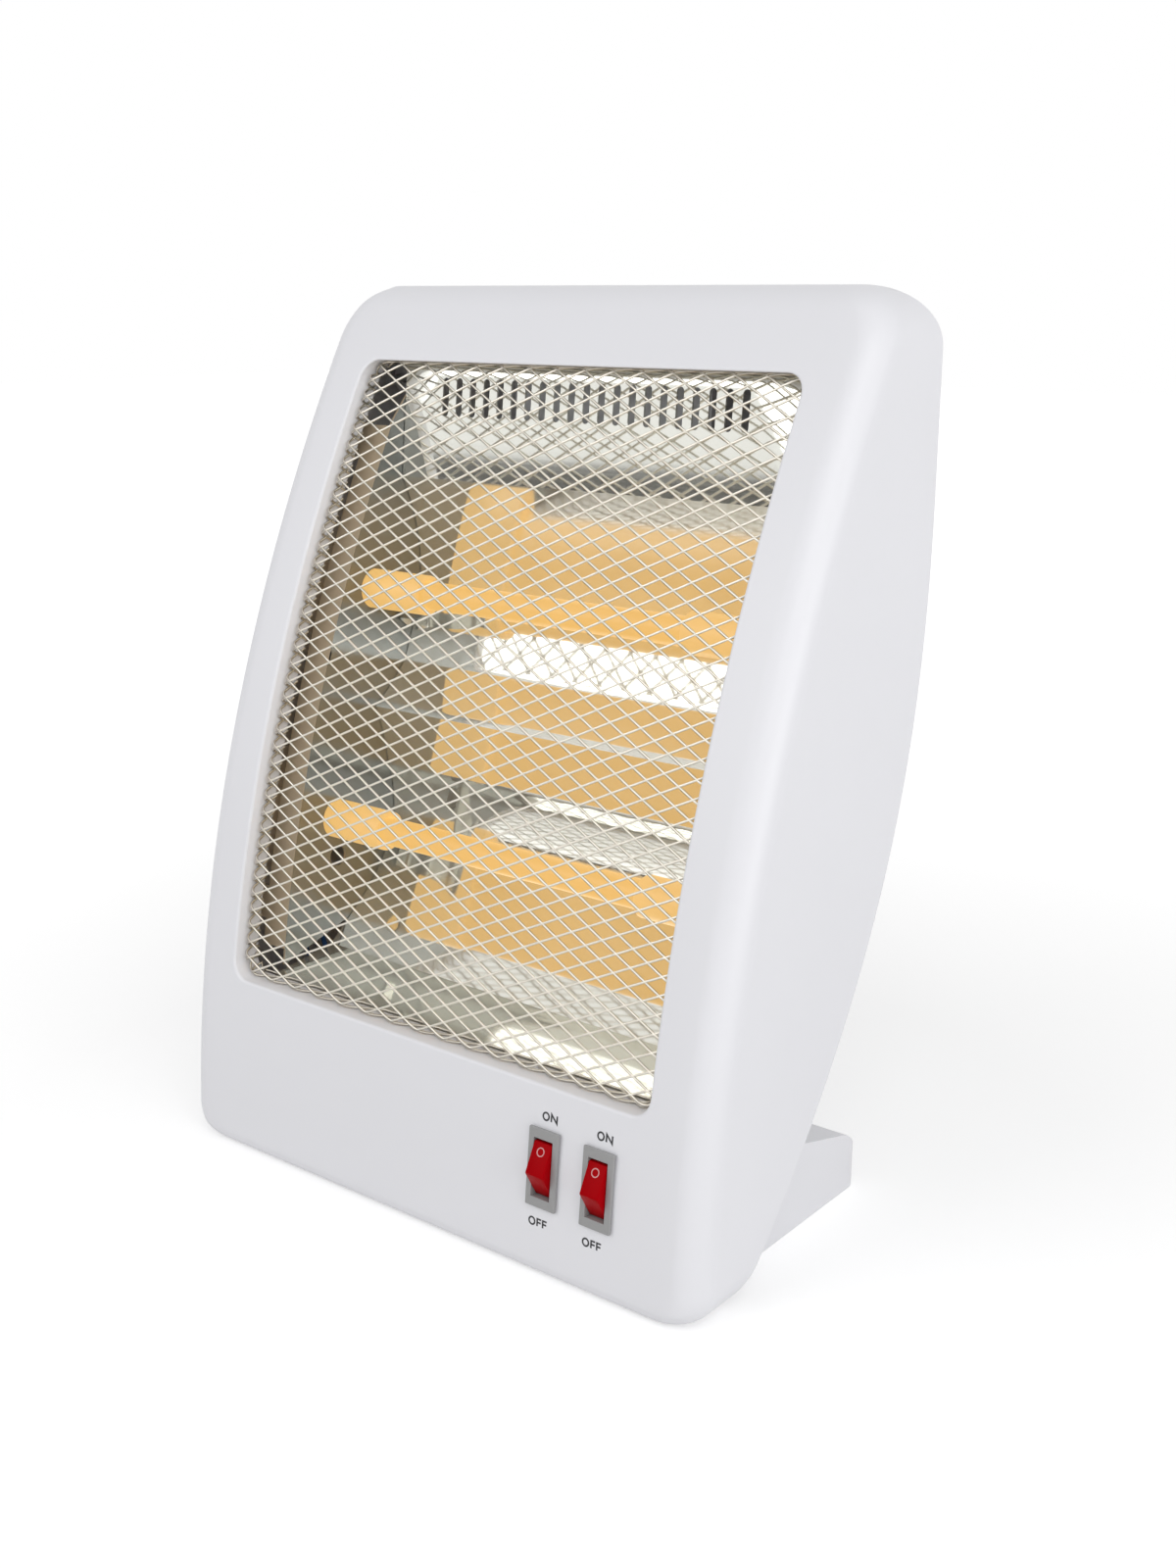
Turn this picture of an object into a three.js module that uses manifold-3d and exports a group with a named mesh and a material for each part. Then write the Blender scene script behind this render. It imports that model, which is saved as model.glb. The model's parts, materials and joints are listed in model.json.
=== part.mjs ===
// Two-tube quartz bar heater, leaning back on a rear foot.
// Millimetres, +Z up, the front facing -Y. The origin is at the middle of the
// footprint, on the floor. Inside this file y starts at the lower front edge of
// the face, and the whole object is moved to its origin at the end.
import * as THREE from 'three';
import { mergeGeometries, mergeVertices } from 'three/addons/utils/BufferGeometryUtils.js';
import Module from 'manifold-3d';

const wasm = await Module();
wasm.setup();

// ---------------------------------------------------------------- dimensions
const WIDTH = 273.2;
const HEIGHT = 362;
const REAR_Y = 149.2;
const FACE_LEAN = 115.9;
const FACE_BOW = 26.1;
const REAR_SWEEP = 123;
const REAR_SWEEP_TOP = HEIGHT - 72;
const REAR_SWEEP_POWER = 2.35;
const CORNER_TOP = 22;
const CORNER_BOTTOM = 15;
const EDGE_TOP = 8;
const EDGE_BOTTOM = 8;
const EDGE_SIDE = 12;
const REAR_TOP_R = 22;
const WALL = 2.5;
const GAP = 0.3;

const SIDE_FRAME = 26.6;
const TOP_FRAME = 30.5;
const WINDOW_HALF = WIDTH / 2 - SIDE_FRAME;
const WINDOW_Z0 = 76.9;
const WINDOW_Z1 = HEIGHT - TOP_FRAME;
const WINDOW_R = 8;
const LIP_WALL = 2;
const LIP_DEPTH = 12.8;
const FRAME_STEPS = 5;

const GUARD_FRONT = 4;
const GUARD_SHEET = 1.2;
const GUARD_FLANGE = 5;
const GUARD_BORDER = 2.4;
const NET_PITCH_X = 37.4;
const NET_PITCH_Z = 19;
const NET_STRAND = 1.7;

const TUBE_UPPER_DEPTH = 38.5;
const TUBE_LOWER_DEPTH = 42.7;
const TUBE_UPPER_DROP = 96.5;
const TUBE_LOWER_RISE = 60.1;
const TUBE_R = 6;
const TUBE_BORE_R = 4.8;
const TUBE_HALF = WINDOW_HALF - 14;
const CAP_R = 8.5;
const CAP_PAST_TUBE = 17;
const CAP_LENGTH = 45;
const CAP_OUTER_X = TUBE_HALF + CAP_PAST_TUBE;
const CAP_INNER_X = CAP_OUTER_X - CAP_LENGTH;
const STUD_R = 1.2;
const STUD_END_X = CAP_OUTER_X + 6;
const COIL_R = 3;

// A trough's depth behind its tube falls with a curve up to its bend, and past the bend
// with a slope and a further curl.
const UPPER_DEPTH = 27.1;
const LOWER_DEPTH = 34.6;
const UPPER_ABOVE = { curve: 0.0089, bend: 50.3, slope: 0, curl: 0 };
const UPPER_BELOW = { curve: 0.0025, bend: 28.3, slope: 0.45, curl: 0.0066 };
const LOWER_ABOVE = { curve: 0.0126, bend: 26.5, slope: 0.4, curl: 0.0069 };
const LOWER_BELOW = { curve: 0.0093, bend: 42, slope: 0.7, curl: 0 };
const UPPER_END = 50.3;
const LOWER_END = 56;
const SHEET = 1;
const CHEEK_X = WINDOW_HALF - 10.3;
const CHEEK_SET = 19;
const CHEEK_FLANGE_X = CHEEK_X + 13.3;
const EAR_X = WINDOW_HALF + 15;
const EAR_SCREW_X = EAR_X - 6;
const EAR_Z = [WINDOW_Z0 + 27.1, WINDOW_Z1 - 33.5];
const SLOT_COUNT = 21;
const SLOT_PITCH = 7.6;
const SLOT_WIDTH = 3.4;
const SLOT_Z1 = WINDOW_Z1 - 7;
const SLOT_Z0 = SLOT_Z1 - 16;

const SWITCH_X = [WIDTH / 2 - 70.95, WIDTH / 2 - 45.28];
const SWITCH_Z = 45.6;
const BEZEL_W = 14.2;
const BEZEL_L = 31;
const BEZEL_T = 1.6;
const SWITCH_BODY_W = 12.2;
const SWITCH_BODY_L = 27.6;
const SWITCH_DEPTH = 17;
const ROCKER_HALF = 11;
const ROCKER_W = 8.4;
const ROCKER_RIDGE = 6.1;
const ROCKER_PIVOT = -4;
const ROCKER_TILT = 7;

const COVER_T = 2.2;
const COVER_INSET = 1;
const COVER_Z0 = 14;
const COVER_Z1 = HEIGHT - 26;
const REBATE = 0.5;
const HOUSING_SCREW_X = WIDTH / 2 - 12.6;
const HOUSING_SCREW_Z = [30, HEIGHT / 2 - 1, HEIGHT - 40];
const WELL_R = 6;
const WELL_DEPTH = 12;
const WELL_FLOOR = 2.5;
const BOSS_R = 4.5;

const SCREW_R = 1.5;
const SCREW_HOLE_R = 1.9;
const SCREW_HEAD_R = 3.4;
const SCREW_HEAD_H = 2.2;

const GRIP_HALF = 48;
const GRIP_Z1 = HEIGHT - 32;
const GRIP_Z0 = GRIP_Z1 - 28;
const GRIP_DEPTH = 20;

const INLET_X = 41.6 - WIDTH / 2;
const INLET_Z = 62;
const INLET_HOLE_R = 5.2;
const INLET_BORE_R = 3.3;

const FOOT_HALF = WIDTH / 2 - 16.1;
const FOOT_WALL = 2.5;
const FOOT_REAR_Y = 143.8;
const FOOT_CORNER = 9;
const FOOT_SCREW_X = [25.5 - FOOT_HALF, -32, 32, FOOT_HALF - 25.5];

const TILT_X = -60;
const TILT_Y = 17;
const TILT_BUTTON_R = 3.5;
const TILT_TRAVEL = 5;
const SPRING_R = 2.7;
const SPRING_WIRE_R = 0.4;
const SPRING_TURNS = 4;

// The moving rockers stand a little in front of the face, so the middle of the
// footprint lies at this y.
const ORIGIN_Y = 73.09;

// ------------------------------------------------------------------ materials
function material(color, roughness, metalness) {
  return new THREE.MeshStandardMaterial({ color, roughness, metalness });
}

const WHITE = [0xe6e6e9, 0.42, 0];
const GUARD_STEEL = [0xd4d2ca, 0.3, 1];
const MIRROR_STEEL = [0xd9d8d2, 0.12, 1];
const QUARTZ = [0xebbe6e, 0.3, 0];
const CERAMIC = [0xe8c37a, 0.6, 0];
const COIL_METAL = [0xd98a3a, 0.5, 1];
const SPRING_STEEL = [0xc8c8c8, 0.3, 1];
const SWITCH_GREY = [0x969696, 0.5, 0];
const ROCKER_RED = [0xb41420, 0.3, 0];
const BRASS = [0xb89a52, 0.35, 1];
const ZINC = [0xa8aaac, 0.4, 1];
const BLACK = [0x222224, 0.55, 0];
const BLOCK_WHITE = [0xdcdccf, 0.5, 0];
const LEAD_BROWN = [0x7a4a2c, 0.6, 0];
const LEAD_BLUE = [0x2f5f9c, 0.6, 0];

// -------------------------------------------------------------------- solids
// Shared vertices are merged, slivers left by merging are dropped and the faces
// are turned outward.
function clean(geometry) {
  const g = geometry.clone();
  g.deleteAttribute('normal');
  g.deleteAttribute('uv');
  const merged = mergeVertices(g, 1e-4);
  const index = merged.index.array;
  const p = merged.attributes.position;
  const kept = [];
  let volume = 0;
  const a = new THREE.Vector3();
  const b = new THREE.Vector3();
  const c = new THREE.Vector3();
  for (let i = 0; i < index.length; i += 3) {
    const [i0, i1, i2] = [index[i], index[i + 1], index[i + 2]];
    if (i0 === i1 || i1 === i2 || i2 === i0) continue;
    kept.push(i0, i1, i2);
    a.fromBufferAttribute(p, i0);
    b.fromBufferAttribute(p, i1);
    c.fromBufferAttribute(p, i2);
    volume += a.dot(b.cross(c));
  }
  if (volume < 0) {
    for (let i = 0; i < kept.length; i += 3) {
      [kept[i + 1], kept[i + 2]] = [kept[i + 2], kept[i + 1]];
    }
  }
  merged.setIndex(kept);
  return merged;
}

function solid(geometry) {
  const g = clean(geometry);
  const vertProperties = new Float32Array(g.attributes.position.array);
  const triVerts = new Uint32Array(g.index.array);
  return new wasm.Manifold(new wasm.Mesh({ numProp: 3, vertProperties, triVerts }));
}

function union(...geometries) {
  return geometries.map(solid).reduce((sum, next) => sum.add(next));
}

function cut(body, ...cutters) {
  return cutters.map(solid).reduce((rest, next) => rest.subtract(next), body);
}

function geometryOf(body) {
  const mesh = body.getMesh();
  const g = new THREE.BufferGeometry();
  g.setAttribute('position', new THREE.BufferAttribute(new Float32Array(mesh.vertProperties), 3));
  g.setIndex(new THREE.BufferAttribute(new Uint32Array(mesh.triVerts), 1));
  return g;
}

// -------------------------------------------------------------------- shapes
function block(x0, x1, y0, y1, z0, z1) {
  const g = new THREE.BoxGeometry(x1 - x0, y1 - y0, z1 - z0);
  return g.translate((x0 + x1) / 2, (y0 + y1) / 2, (z0 + z1) / 2);
}

// A round bar from one point to another.
function bar(from, to, radius, sides = 12) {
  const a = new THREE.Vector3(...from);
  const b = new THREE.Vector3(...to);
  const g = new THREE.CylinderGeometry(radius, radius, a.distanceTo(b), sides);
  const turn = new THREE.Quaternion();
  turn.setFromUnitVectors(new THREE.Vector3(0, 1, 0), b.clone().sub(a).normalize());
  g.applyQuaternion(turn);
  return g.translate((a.x + b.x) / 2, (a.y + b.y) / 2, (a.z + b.z) / 2);
}

// A turned shape: the profile holds [distance along the axis, radius] pairs.
function turned(profile, origin, direction, sides = 16) {
  const points = profile.map(([along, radius]) => new THREE.Vector2(radius, along));
  const g = new THREE.LatheGeometry(points, sides);
  const turn = new THREE.Quaternion();
  turn.setFromUnitVectors(new THREE.Vector3(0, 1, 0), new THREE.Vector3(...direction).normalize());
  g.applyQuaternion(turn);
  return g.translate(...origin);
}

// A [y, z] outline carried along X.
function slab(outline, x0, x1) {
  const shape = new THREE.Shape(outline.map(([y, z]) => new THREE.Vector2(y, z)));
  const g = new THREE.ExtrudeGeometry(shape, { depth: x1 - x0, bevelEnabled: false });
  const m = new THREE.Matrix4().set(0, 0, 1, x0, 1, 0, 0, 0, 0, 1, 0, 0, 0, 0, 0, 1);
  return g.applyMatrix4(m);
}

// Stacked outlines of equal count, closed at both ends.
function loft(rings) {
  const count = rings[0].length;
  const positions = rings.flat().flat();
  const index = [];
  for (let i = 0; i + 1 < rings.length; i += 1) {
    for (let j = 0; j < count; j += 1) {
      const k = (j + 1) % count;
      const a = i * count + j;
      const b = i * count + k;
      index.push(a, b, b + count, a, b + count, a + count);
    }
  }
  const caps = [[0, true], [rings.length - 1, false]];
  for (const [level, flip] of caps) {
    const flat = rings[level].map(([x, y]) => new THREE.Vector2(x, y));
    for (const [a, b, c] of THREE.ShapeUtils.triangulateShape(flat, [])) {
      const t = flip ? [a, c, b] : [a, b, c];
      index.push(...t.map((v) => v + level * count));
    }
  }
  const g = new THREE.BufferGeometry();
  g.setAttribute('position', new THREE.Float32BufferAttribute(positions, 3));
  g.setAttribute('normal', new THREE.Float32BufferAttribute(positions, 3));
  g.setAttribute('uv', new THREE.Float32BufferAttribute(new Array(positions.length / 3 * 2).fill(0), 2));
  g.setIndex(index);
  return g;
}

// Both sides of a path moved out by given distances along its normals.
function strip(path, before, after) {
  const normals = path.map((p, i) => {
    const a = path[Math.max(i - 1, 0)];
    const b = path[Math.min(i + 1, path.length - 1)];
    const length = Math.hypot(b[0] - a[0], b[1] - a[1]);
    return [(b[1] - a[1]) / length, -(b[0] - a[0]) / length];
  });
  const side = (d) => path.map((p, i) => [p[0] + d * normals[i][0], p[1] + d * normals[i][1]]);
  return [...side(after), ...side(-before).reverse()];
}

// ------------------------------------------------------------- body surfaces
const A = WIDTH / 2;

function faceY(z) {
  const t = z / HEIGHT;
  return FACE_LEAN * t - 4 * FACE_BOW * t * (1 - t);
}

// The tubes' axes as [y, z], at their depths behind the face.
const upperZ = WINDOW_Z1 - TUBE_UPPER_DROP;
const lowerZ = WINDOW_Z0 + TUBE_LOWER_RISE;
const TUBE_UPPER = [faceY(upperZ) + TUBE_UPPER_DEPTH, upperZ];
const TUBE_LOWER = [faceY(lowerZ) + TUBE_LOWER_DEPTH, lowerZ];

function faceSlope(z) {
  return (FACE_LEAN - 4 * FACE_BOW * (1 - 2 * z / HEIGHT)) / HEIGHT;
}

function arcDrop(radius, distance) {
  return radius - Math.sqrt(Math.max(0, radius * radius - distance * distance));
}

function halfWidth(z, inset) {
  const top = z - (HEIGHT - CORNER_TOP);
  const bottom = CORNER_BOTTOM - z;
  if (top > 0) return A - inset - arcDrop(CORNER_TOP - inset, top);
  if (bottom > 0) return A - inset - arcDrop(CORNER_BOTTOM - inset, bottom);
  return A - inset;
}

function frontY(z, inset) {
  const top = z - (HEIGHT - EDGE_TOP);
  const bottom = EDGE_BOTTOM - z;
  let y = faceY(z) + inset;
  if (top > 0) y += arcDrop(EDGE_TOP - inset, top);
  if (bottom > 0) y += arcDrop(EDGE_BOTTOM - inset, bottom);
  return y;
}

function rearY(z, inset) {
  const sweep = Math.max(0, (REAR_SWEEP_TOP - z) / REAR_SWEEP_TOP);
  const top = z - (HEIGHT - REAR_TOP_R);
  let y = REAR_Y - inset - REAR_SWEEP * sweep ** REAR_SWEEP_POWER;
  if (top > 0) y -= arcDrop(REAR_TOP_R - inset, top);
  return y;
}

function bodyRing(z, inset) {
  const a = halfWidth(z, inset);
  const front = frontY(z, inset);
  const rear = rearY(z, inset);
  const r = Math.min(EDGE_SIDE - inset, (rear - front) * 0.8);
  const ring = [[a, rear, z], [-a, rear, z]];
  const steps = 4;
  for (const [side, start] of [[-1, Math.PI], [1, 1.5 * Math.PI]]) {
    for (let i = 0; i <= steps; i += 1) {
      const angle = start + (i / steps) * Math.PI / 2;
      ring.push([side * (a - r) + r * Math.cos(angle), front + r + r * Math.sin(angle), z]);
    }
  }
  return ring;
}

const LEVELS = [5, 9, 14];
for (let i = 0; i <= 11; i += 1) LEVELS.push(24 + (i / 11) * (HEIGHT - 58));
const TOP_LEVELS = [22, 15, 9.5, 5.5].map((drop) => HEIGHT - drop);

// --------------------------------------------------- shapes bent to the face
// A rectangle that follows the bowed face, from one depth behind it to another,
// in level strips.
function bowed(x0, x1, z0, z1, depth0, depth1, steps = 1) {
  const levels = [];
  for (let i = 0; i <= steps; i += 1) levels.push(z0 + (i / steps) * (z1 - z0));
  const front = levels.map((z) => [faceY(z) + depth0, z]);
  const rear = levels.map((z) => [faceY(z) + depth1, z]).reverse();
  return slab([...front, ...rear], x0, x1);
}

// An [x, z] outline made into a prism from one y to another.
function prism(points, y0, y1) {
  const shape = new THREE.Shape(points.map(([x, z]) => new THREE.Vector2(x, z)));
  const g = new THREE.ExtrudeGeometry(shape, { depth: y1 - y0, bevelEnabled: false });
  g.rotateX(Math.PI / 2);
  return g.translate(0, y1, 0);
}

function windowPrism(grow) {
  const half = WINDOW_HALF + grow;
  const z0 = WINDOW_Z0 - grow;
  const z1 = WINDOW_Z1 + grow;
  const r = WINDOW_R + grow;
  const points = [];
  for (const [cx, cz, start] of [[half - r, z0 + r, -90], [half - r, z1 - r, 0],
    [r - half, z1 - r, 90], [r - half, z0 + r, 180]]) {
    for (let i = 0; i <= 3; i += 1) {
      const angle = THREE.MathUtils.degToRad(start + i * 30);
      points.push([cx + r * Math.cos(angle), cz + r * Math.sin(angle)]);
    }
  }
  return solid(prism(points, -20, REAR_Y + 10));
}

function faceBand(depth0, depth1) {
  const half = WINDOW_HALF + 15;
  return solid(bowed(-half, half, WINDOW_Z0 - 11, WINDOW_Z1 + 10.5, depth0, depth1, FRAME_STEPS));
}

// The part of the bowed band between two outlines of the window's shape.
function windowFrame(outer, inner, depth0, depth1) {
  return faceBand(depth0, depth1).intersect(windowPrism(outer)).subtract(windowPrism(inner));
}

// --------------------------------------------------------------- collecting
const heater = new THREE.Group();
heater.name = 'bar_heater';

function place(name, geometry, look, parent = heater) {
  const g = clean(geometry);
  g.computeVertexNormals();
  const mesh = new THREE.Mesh(g, material(...look));
  mesh.name = name;
  parent.add(mesh);
  return mesh;
}

// -------------------------------------------------------------- front shell
const coverY = (z) => rearY(z, 0) - COVER_INSET;
const wellInnerY = (z) => coverY(z) - WELL_DEPTH;

function housingScrewPlaces() {
  return [-1, 1].flatMap((side) => HOUSING_SCREW_Z.map((z) => [side * HOUSING_SCREW_X, z]));
}

function earScrewPlaces() {
  return [-1, 1].flatMap((side) => EAR_Z.map((z) => [side * EAR_SCREW_X, z]));
}

function switchFrame() {
  const group = new THREE.Group();
  group.position.set(0, faceY(SWITCH_Z), SWITCH_Z);
  group.rotation.x = -Math.atan(faceSlope(SWITCH_Z));
  group.updateMatrixWorld();
  return group;
}

// Switch pieces are drawn with -Y pointing out of the face at the switches.
const switches = switchFrame();

const BLOCK_X = [-28, 12];
const BLOCK_Y = [9.5, 25];
const BLOCK_Z = [30, 46];
const blockPostX = [BLOCK_X[0] + 6, BLOCK_X[1] - 6];
const blockMidZ = (BLOCK_Z[0] + BLOCK_Z[1]) / 2;

function buildShell() {
  const outer = [0, 1, 2.5, ...LEVELS, ...TOP_LEVELS, HEIGHT - 3, HEIGHT - 1, HEIGHT];
  const inner = [WALL, 3.2, ...LEVELS, ...TOP_LEVELS, HEIGHT - 3.7, HEIGHT - WALL];
  const mouthZ = [COVER_Z0, ...LEVELS.filter((z) => z > COVER_Z0), COVER_Z1];
  const mouth = mouthZ.map((z) => {
    const half = A - WALL + REBATE;
    const middle = (frontY(z, 0) + rearY(z, 0)) / 2;
    const behind = REAR_Y + 50;
    return [[half, behind, z], [-half, behind, z], [-half, middle, z], [half, middle, z]];
  });
  let body = solid(loft(outer.map((z) => bodyRing(z, 0))));
  body = cut(body, loft(inner.map((z) => bodyRing(z, WALL))), loft(mouth));
  body = body.add(windowFrame(LIP_WALL, 0, 1, LIP_DEPTH));
  body = body.subtract(windowPrism(0).intersect(faceBand(-12, 12)));
  const bosses = [];
  const pilots = [];
  for (const [x, z] of housingScrewPlaces()) {
    const end = wellInnerY(z) - GAP;
    bosses.push(bar([x, faceY(z), z], [x, end, z], BOSS_R, 10));
    pilots.push(bar([x, end - 16, z], [x, end + 1, z], SCREW_R + GAP, 8));
  }
  for (const [x, z] of earScrewPlaces()) {
    const end = faceY(z - 4) + CHEEK_SET - GAP;
    bosses.push(bar([x, faceY(z), z], [x, end, z], 4, 10));
    pilots.push(bar([x, end - 11, z], [x, end + 1, z], SCREW_R + GAP, 8));
  }
  for (const x of blockPostX) {
    bosses.push(bar([x, faceY(blockMidZ), blockMidZ], [x, BLOCK_Y[0] - GAP, blockMidZ], 3.5, 10));
  }
  const midWall = solid(loft(LEVELS.map((z) => bodyRing(z, WALL / 2))));
  body = body.add(union(...bosses).intersect(midWall));
  body = cut(body, ...pilots);
  for (const x of SWITCH_X) {
    const w = SWITCH_BODY_W / 2 + GAP;
    const l = SWITCH_BODY_L / 2 + GAP;
    const opening = block(x - w, x + w, -5, 12, -l, l);
    body = cut(body, opening.applyMatrix4(switches.matrixWorld));
  }
  const hole = TILT_BUTTON_R + 0.5;
  return cut(body, bar([TILT_X, TILT_Y, -1], [TILT_X, TILT_Y, 5], hole, 16));
}

place('front_shell', geometryOf(buildShell()), WHITE);

// -------------------------------------------------------------------- guard
// The bars of the net are what is left between diamond openings in a thin sheet.
function netOpenings(half, z0, z1) {
  const holes = [];
  const a = NET_PITCH_X / 2;
  const b = NET_PITCH_Z / 2;
  const shrink = 1 - NET_STRAND * Math.hypot(a, b) / (2 * a * b);
  const columns = Math.ceil(half / a) + 1;
  const rows = Math.ceil((z1 - z0) / NET_PITCH_Z) + 1;
  const middle = (z0 + z1) / 2;
  for (let i = -columns; i <= columns; i += 1) {
    for (let j = -rows; j <= rows; j += 1) {
      if ((i + j) % 2 !== 0) continue;
      const x = i * a;
      const z = middle + j * b;
      const w = a * shrink;
      const h = b * shrink;
      const diamond = [[x + w, z], [x, z + h], [x - w, z], [x, z - h]];
      const clipped = clip(diamond, -half, half, z0, z1);
      if (area(clipped) > 12) holes.push(clipped);
    }
  }
  return holes;
}

function area(points) {
  let sum = 0;
  points.forEach(([x, z], i) => {
    const [u, v] = points[(i + 1) % points.length];
    sum += x * v - u * z;
  });
  return sum / 2;
}

function clip(points, x0, x1, z0, z1) {
  const sides = [[0, 1, x0], [0, -1, -x1], [1, 1, z0], [1, -1, -z1]];
  return sides.reduce((poly, [axis, sign, limit]) => {
    const kept = [];
    poly.forEach((p, i) => {
      const q = poly[(i + 1) % poly.length];
      const dp = sign * p[axis] - limit;
      const dq = sign * q[axis] - limit;
      if (dp >= 0) kept.push(p);
      if (dp * dq < 0) {
        const t = dp / (dp - dq);
        kept.push([p[0] + t * (q[0] - p[0]), p[1] + t * (q[1] - p[1])]);
      }
    });
    return kept;
  }, points);
}

function buildGuard() {
  const border = GAP + GUARD_SHEET + GUARD_BORDER;
  const sheet = solid(bowed(-125, 125, 66, 342, GUARD_FRONT, GUARD_FRONT + GUARD_SHEET, FRAME_STEPS));
  const openings = netOpenings(WINDOW_HALF - border, WINDOW_Z0 + border, WINDOW_Z1 - border);
  const net = sheet.intersect(windowPrism(-GAP));
  const inner = -GAP - GUARD_SHEET;
  const depth = LIP_DEPTH + GAP;
  return net
    .subtract(solid(mergeGeometries(openings.map((hole) => prism(hole, -20, 160)))))
    .add(windowFrame(-GAP, inner, GUARD_FRONT + GUARD_SHEET / 2, depth + GUARD_SHEET))
    .add(windowFrame(GUARD_FLANGE, inner, depth, depth + GUARD_SHEET));
}

place('guard_mesh', geometryOf(buildGuard()), GUARD_STEEL);

// ---------------------------------------------------------------- reflector
const lean = Math.atan2(TUBE_UPPER[0] - TUBE_LOWER[0], TUBE_UPPER[1] - TUBE_LOWER[1]);
const chord = [Math.sin(lean), Math.cos(lean)];
const inward = [Math.cos(lean), -Math.sin(lean)];
const halfPitch = Math.hypot(TUBE_UPPER[0] - TUBE_LOWER[0], TUBE_UPPER[1] - TUBE_LOWER[1]) / 2;

// How far a trough lies behind its tube, at a distance from the tube along the trough.
function troughDepth(depth, { curve, bend, slope, curl }, distance) {
  const past = Math.max(0, distance - bend);
  const curved = Math.min(distance, bend);
  return depth - curve * curved * curved - slope * past - curl * past * past;
}

function troughPoint([y, z], s, d) {
  return [y + s * chord[0] + d * inward[0], z + s * chord[1] + d * inward[1]];
}

// Points of the troughs, s up from the tube along the line between the tubes.
function upperTrough(s, back = 0) {
  const d = troughDepth(UPPER_DEPTH, s > 0 ? UPPER_ABOVE : UPPER_BELOW, Math.abs(s));
  const [y, z] = troughPoint(TUBE_UPPER, s, d);
  return [y + back, z];
}

function lowerTrough(s, back = 0) {
  const d = troughDepth(LOWER_DEPTH, s > 0 ? LOWER_ABOVE : LOWER_BELOW, Math.abs(s));
  const [y, z] = troughPoint(TUBE_LOWER, s, d);
  return [y + back, z];
}

// Evenly spaced values from one to another, both included.
function spread(from, to, steps) {
  return Array.from({ length: steps + 1 }, (_, i) => from + (i / steps) * (to - from));
}

function reflectorPath() {
  const flange = LIP_DEPTH + GAP + GUARD_SHEET + GAP;
  const path = [[faceY(WINDOW_Z0 - 4.5) + flange, WINDOW_Z0 - 4.5]];
  path.push([faceY(WINDOW_Z0) + flange + 0.2, WINDOW_Z0 - 0.1]);
  for (const s of spread(-LOWER_END, halfPitch, 11)) path.push(lowerTrough(s));
  for (const s of spread(-halfPitch, UPPER_END, 10).slice(1)) path.push(upperTrough(s));
  path.push([faceY(WINDOW_Z1) + flange + 0.4, WINDOW_Z1 + 0.1]);
  path.push([faceY(WINDOW_Z1 + 5) + flange + 0.4, WINDOW_Z1 + 5]);
  return path;
}

function buildReflector() {
  const half = CHEEK_X - GAP;
  let body = solid(slab(strip(reflectorPath(), 0, SHEET), -half, half));
  for (let i = 0; i < SLOT_COUNT; i += 1) {
    const x = (i - (SLOT_COUNT - 1) / 2) * SLOT_PITCH;
    const r = SLOT_WIDTH / 2;
    const outline = new THREE.Shape();
    outline.absarc(x, SLOT_Z1 - r, r, 0, Math.PI, false);
    outline.absarc(x, SLOT_Z0 + r, r, Math.PI, 2 * Math.PI, false);
    const cutter = new THREE.ExtrudeGeometry(outline, { depth: 24, bevelEnabled: false, curveSegments: 2 });
    cutter.rotateX(Math.PI / 2);
    const behind = faceY(WINDOW_Z1) + 26;
    body = cut(body, cutter.translate(0, behind, 0));
  }
  return body;
}

place('reflector', geometryOf(buildReflector()), MIRROR_STEEL);

function cheekOutline() {
  const toe = WINDOW_Z0 + 2.1;
  const front = [[faceY(toe) + CHEEK_SET + 0.6, toe]];
  for (const z of spread(WINDOW_Z0 + 23.1, WINDOW_Z1 - 25.5, 7)) front.push([faceY(z) + CHEEK_SET, z]);
  const crown = WINDOW_Z1 - 13.5;
  const rear = [[faceY(crown) + CHEEK_SET + 4, crown]];
  for (const s of spread(UPPER_END, -UPPER_BELOW.bend, 4)) rear.push(upperTrough(s, 4));
  for (const s of spread(LOWER_ABOVE.bend, -LOWER_BELOW.bend, 4)) rear.push(lowerTrough(s, 4));
  return [...front, ...rear];
}

for (const [side, name] of [[-1, 'left'], [1, 'right']]) {
  const xs = (a, b) => (side > 0 ? [a, b] : [-b, -a]);
  const depths = [CHEEK_SET, CHEEK_SET + SHEET];
  let cheek = solid(slab(cheekOutline(), ...xs(CHEEK_X, CHEEK_X + SHEET)));
  cheek = cheek.add(solid(bowed(...xs(CHEEK_X, CHEEK_FLANGE_X), WINDOW_Z0 + 9.1, WINDOW_Z1 - 27.5, ...depths, 8)));
  for (const z of EAR_Z) {
    cheek = cheek.add(solid(bowed(...xs(CHEEK_FLANGE_X - 2, EAR_X), z - 7, z + 7, ...depths)));
    const y = faceY(z) + CHEEK_SET;
    const x = side * EAR_SCREW_X;
    cheek = cut(cheek, bar([x, y - 5, z], [x, y + 6, z], SCREW_HOLE_R, 8));
  }
  for (const [y, z] of [TUBE_UPPER, TUBE_LOWER]) {
    cheek = cut(cheek, bar([side * (CHEEK_X - 9), y, z], [side * (CHEEK_X + 9), y, z], CAP_R + GAP, 16));
  }
  const peep = [TUBE_LOWER[0] - 1, TUBE_LOWER[1] - 17];
  cheek = cut(cheek, bar([side * (CHEEK_X - 9), ...peep], [side * (CHEEK_X + 9), ...peep], 4.5, 12));
  place(`reflector_end_${name}`, geometryOf(cheek), MIRROR_STEEL);
}

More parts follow.
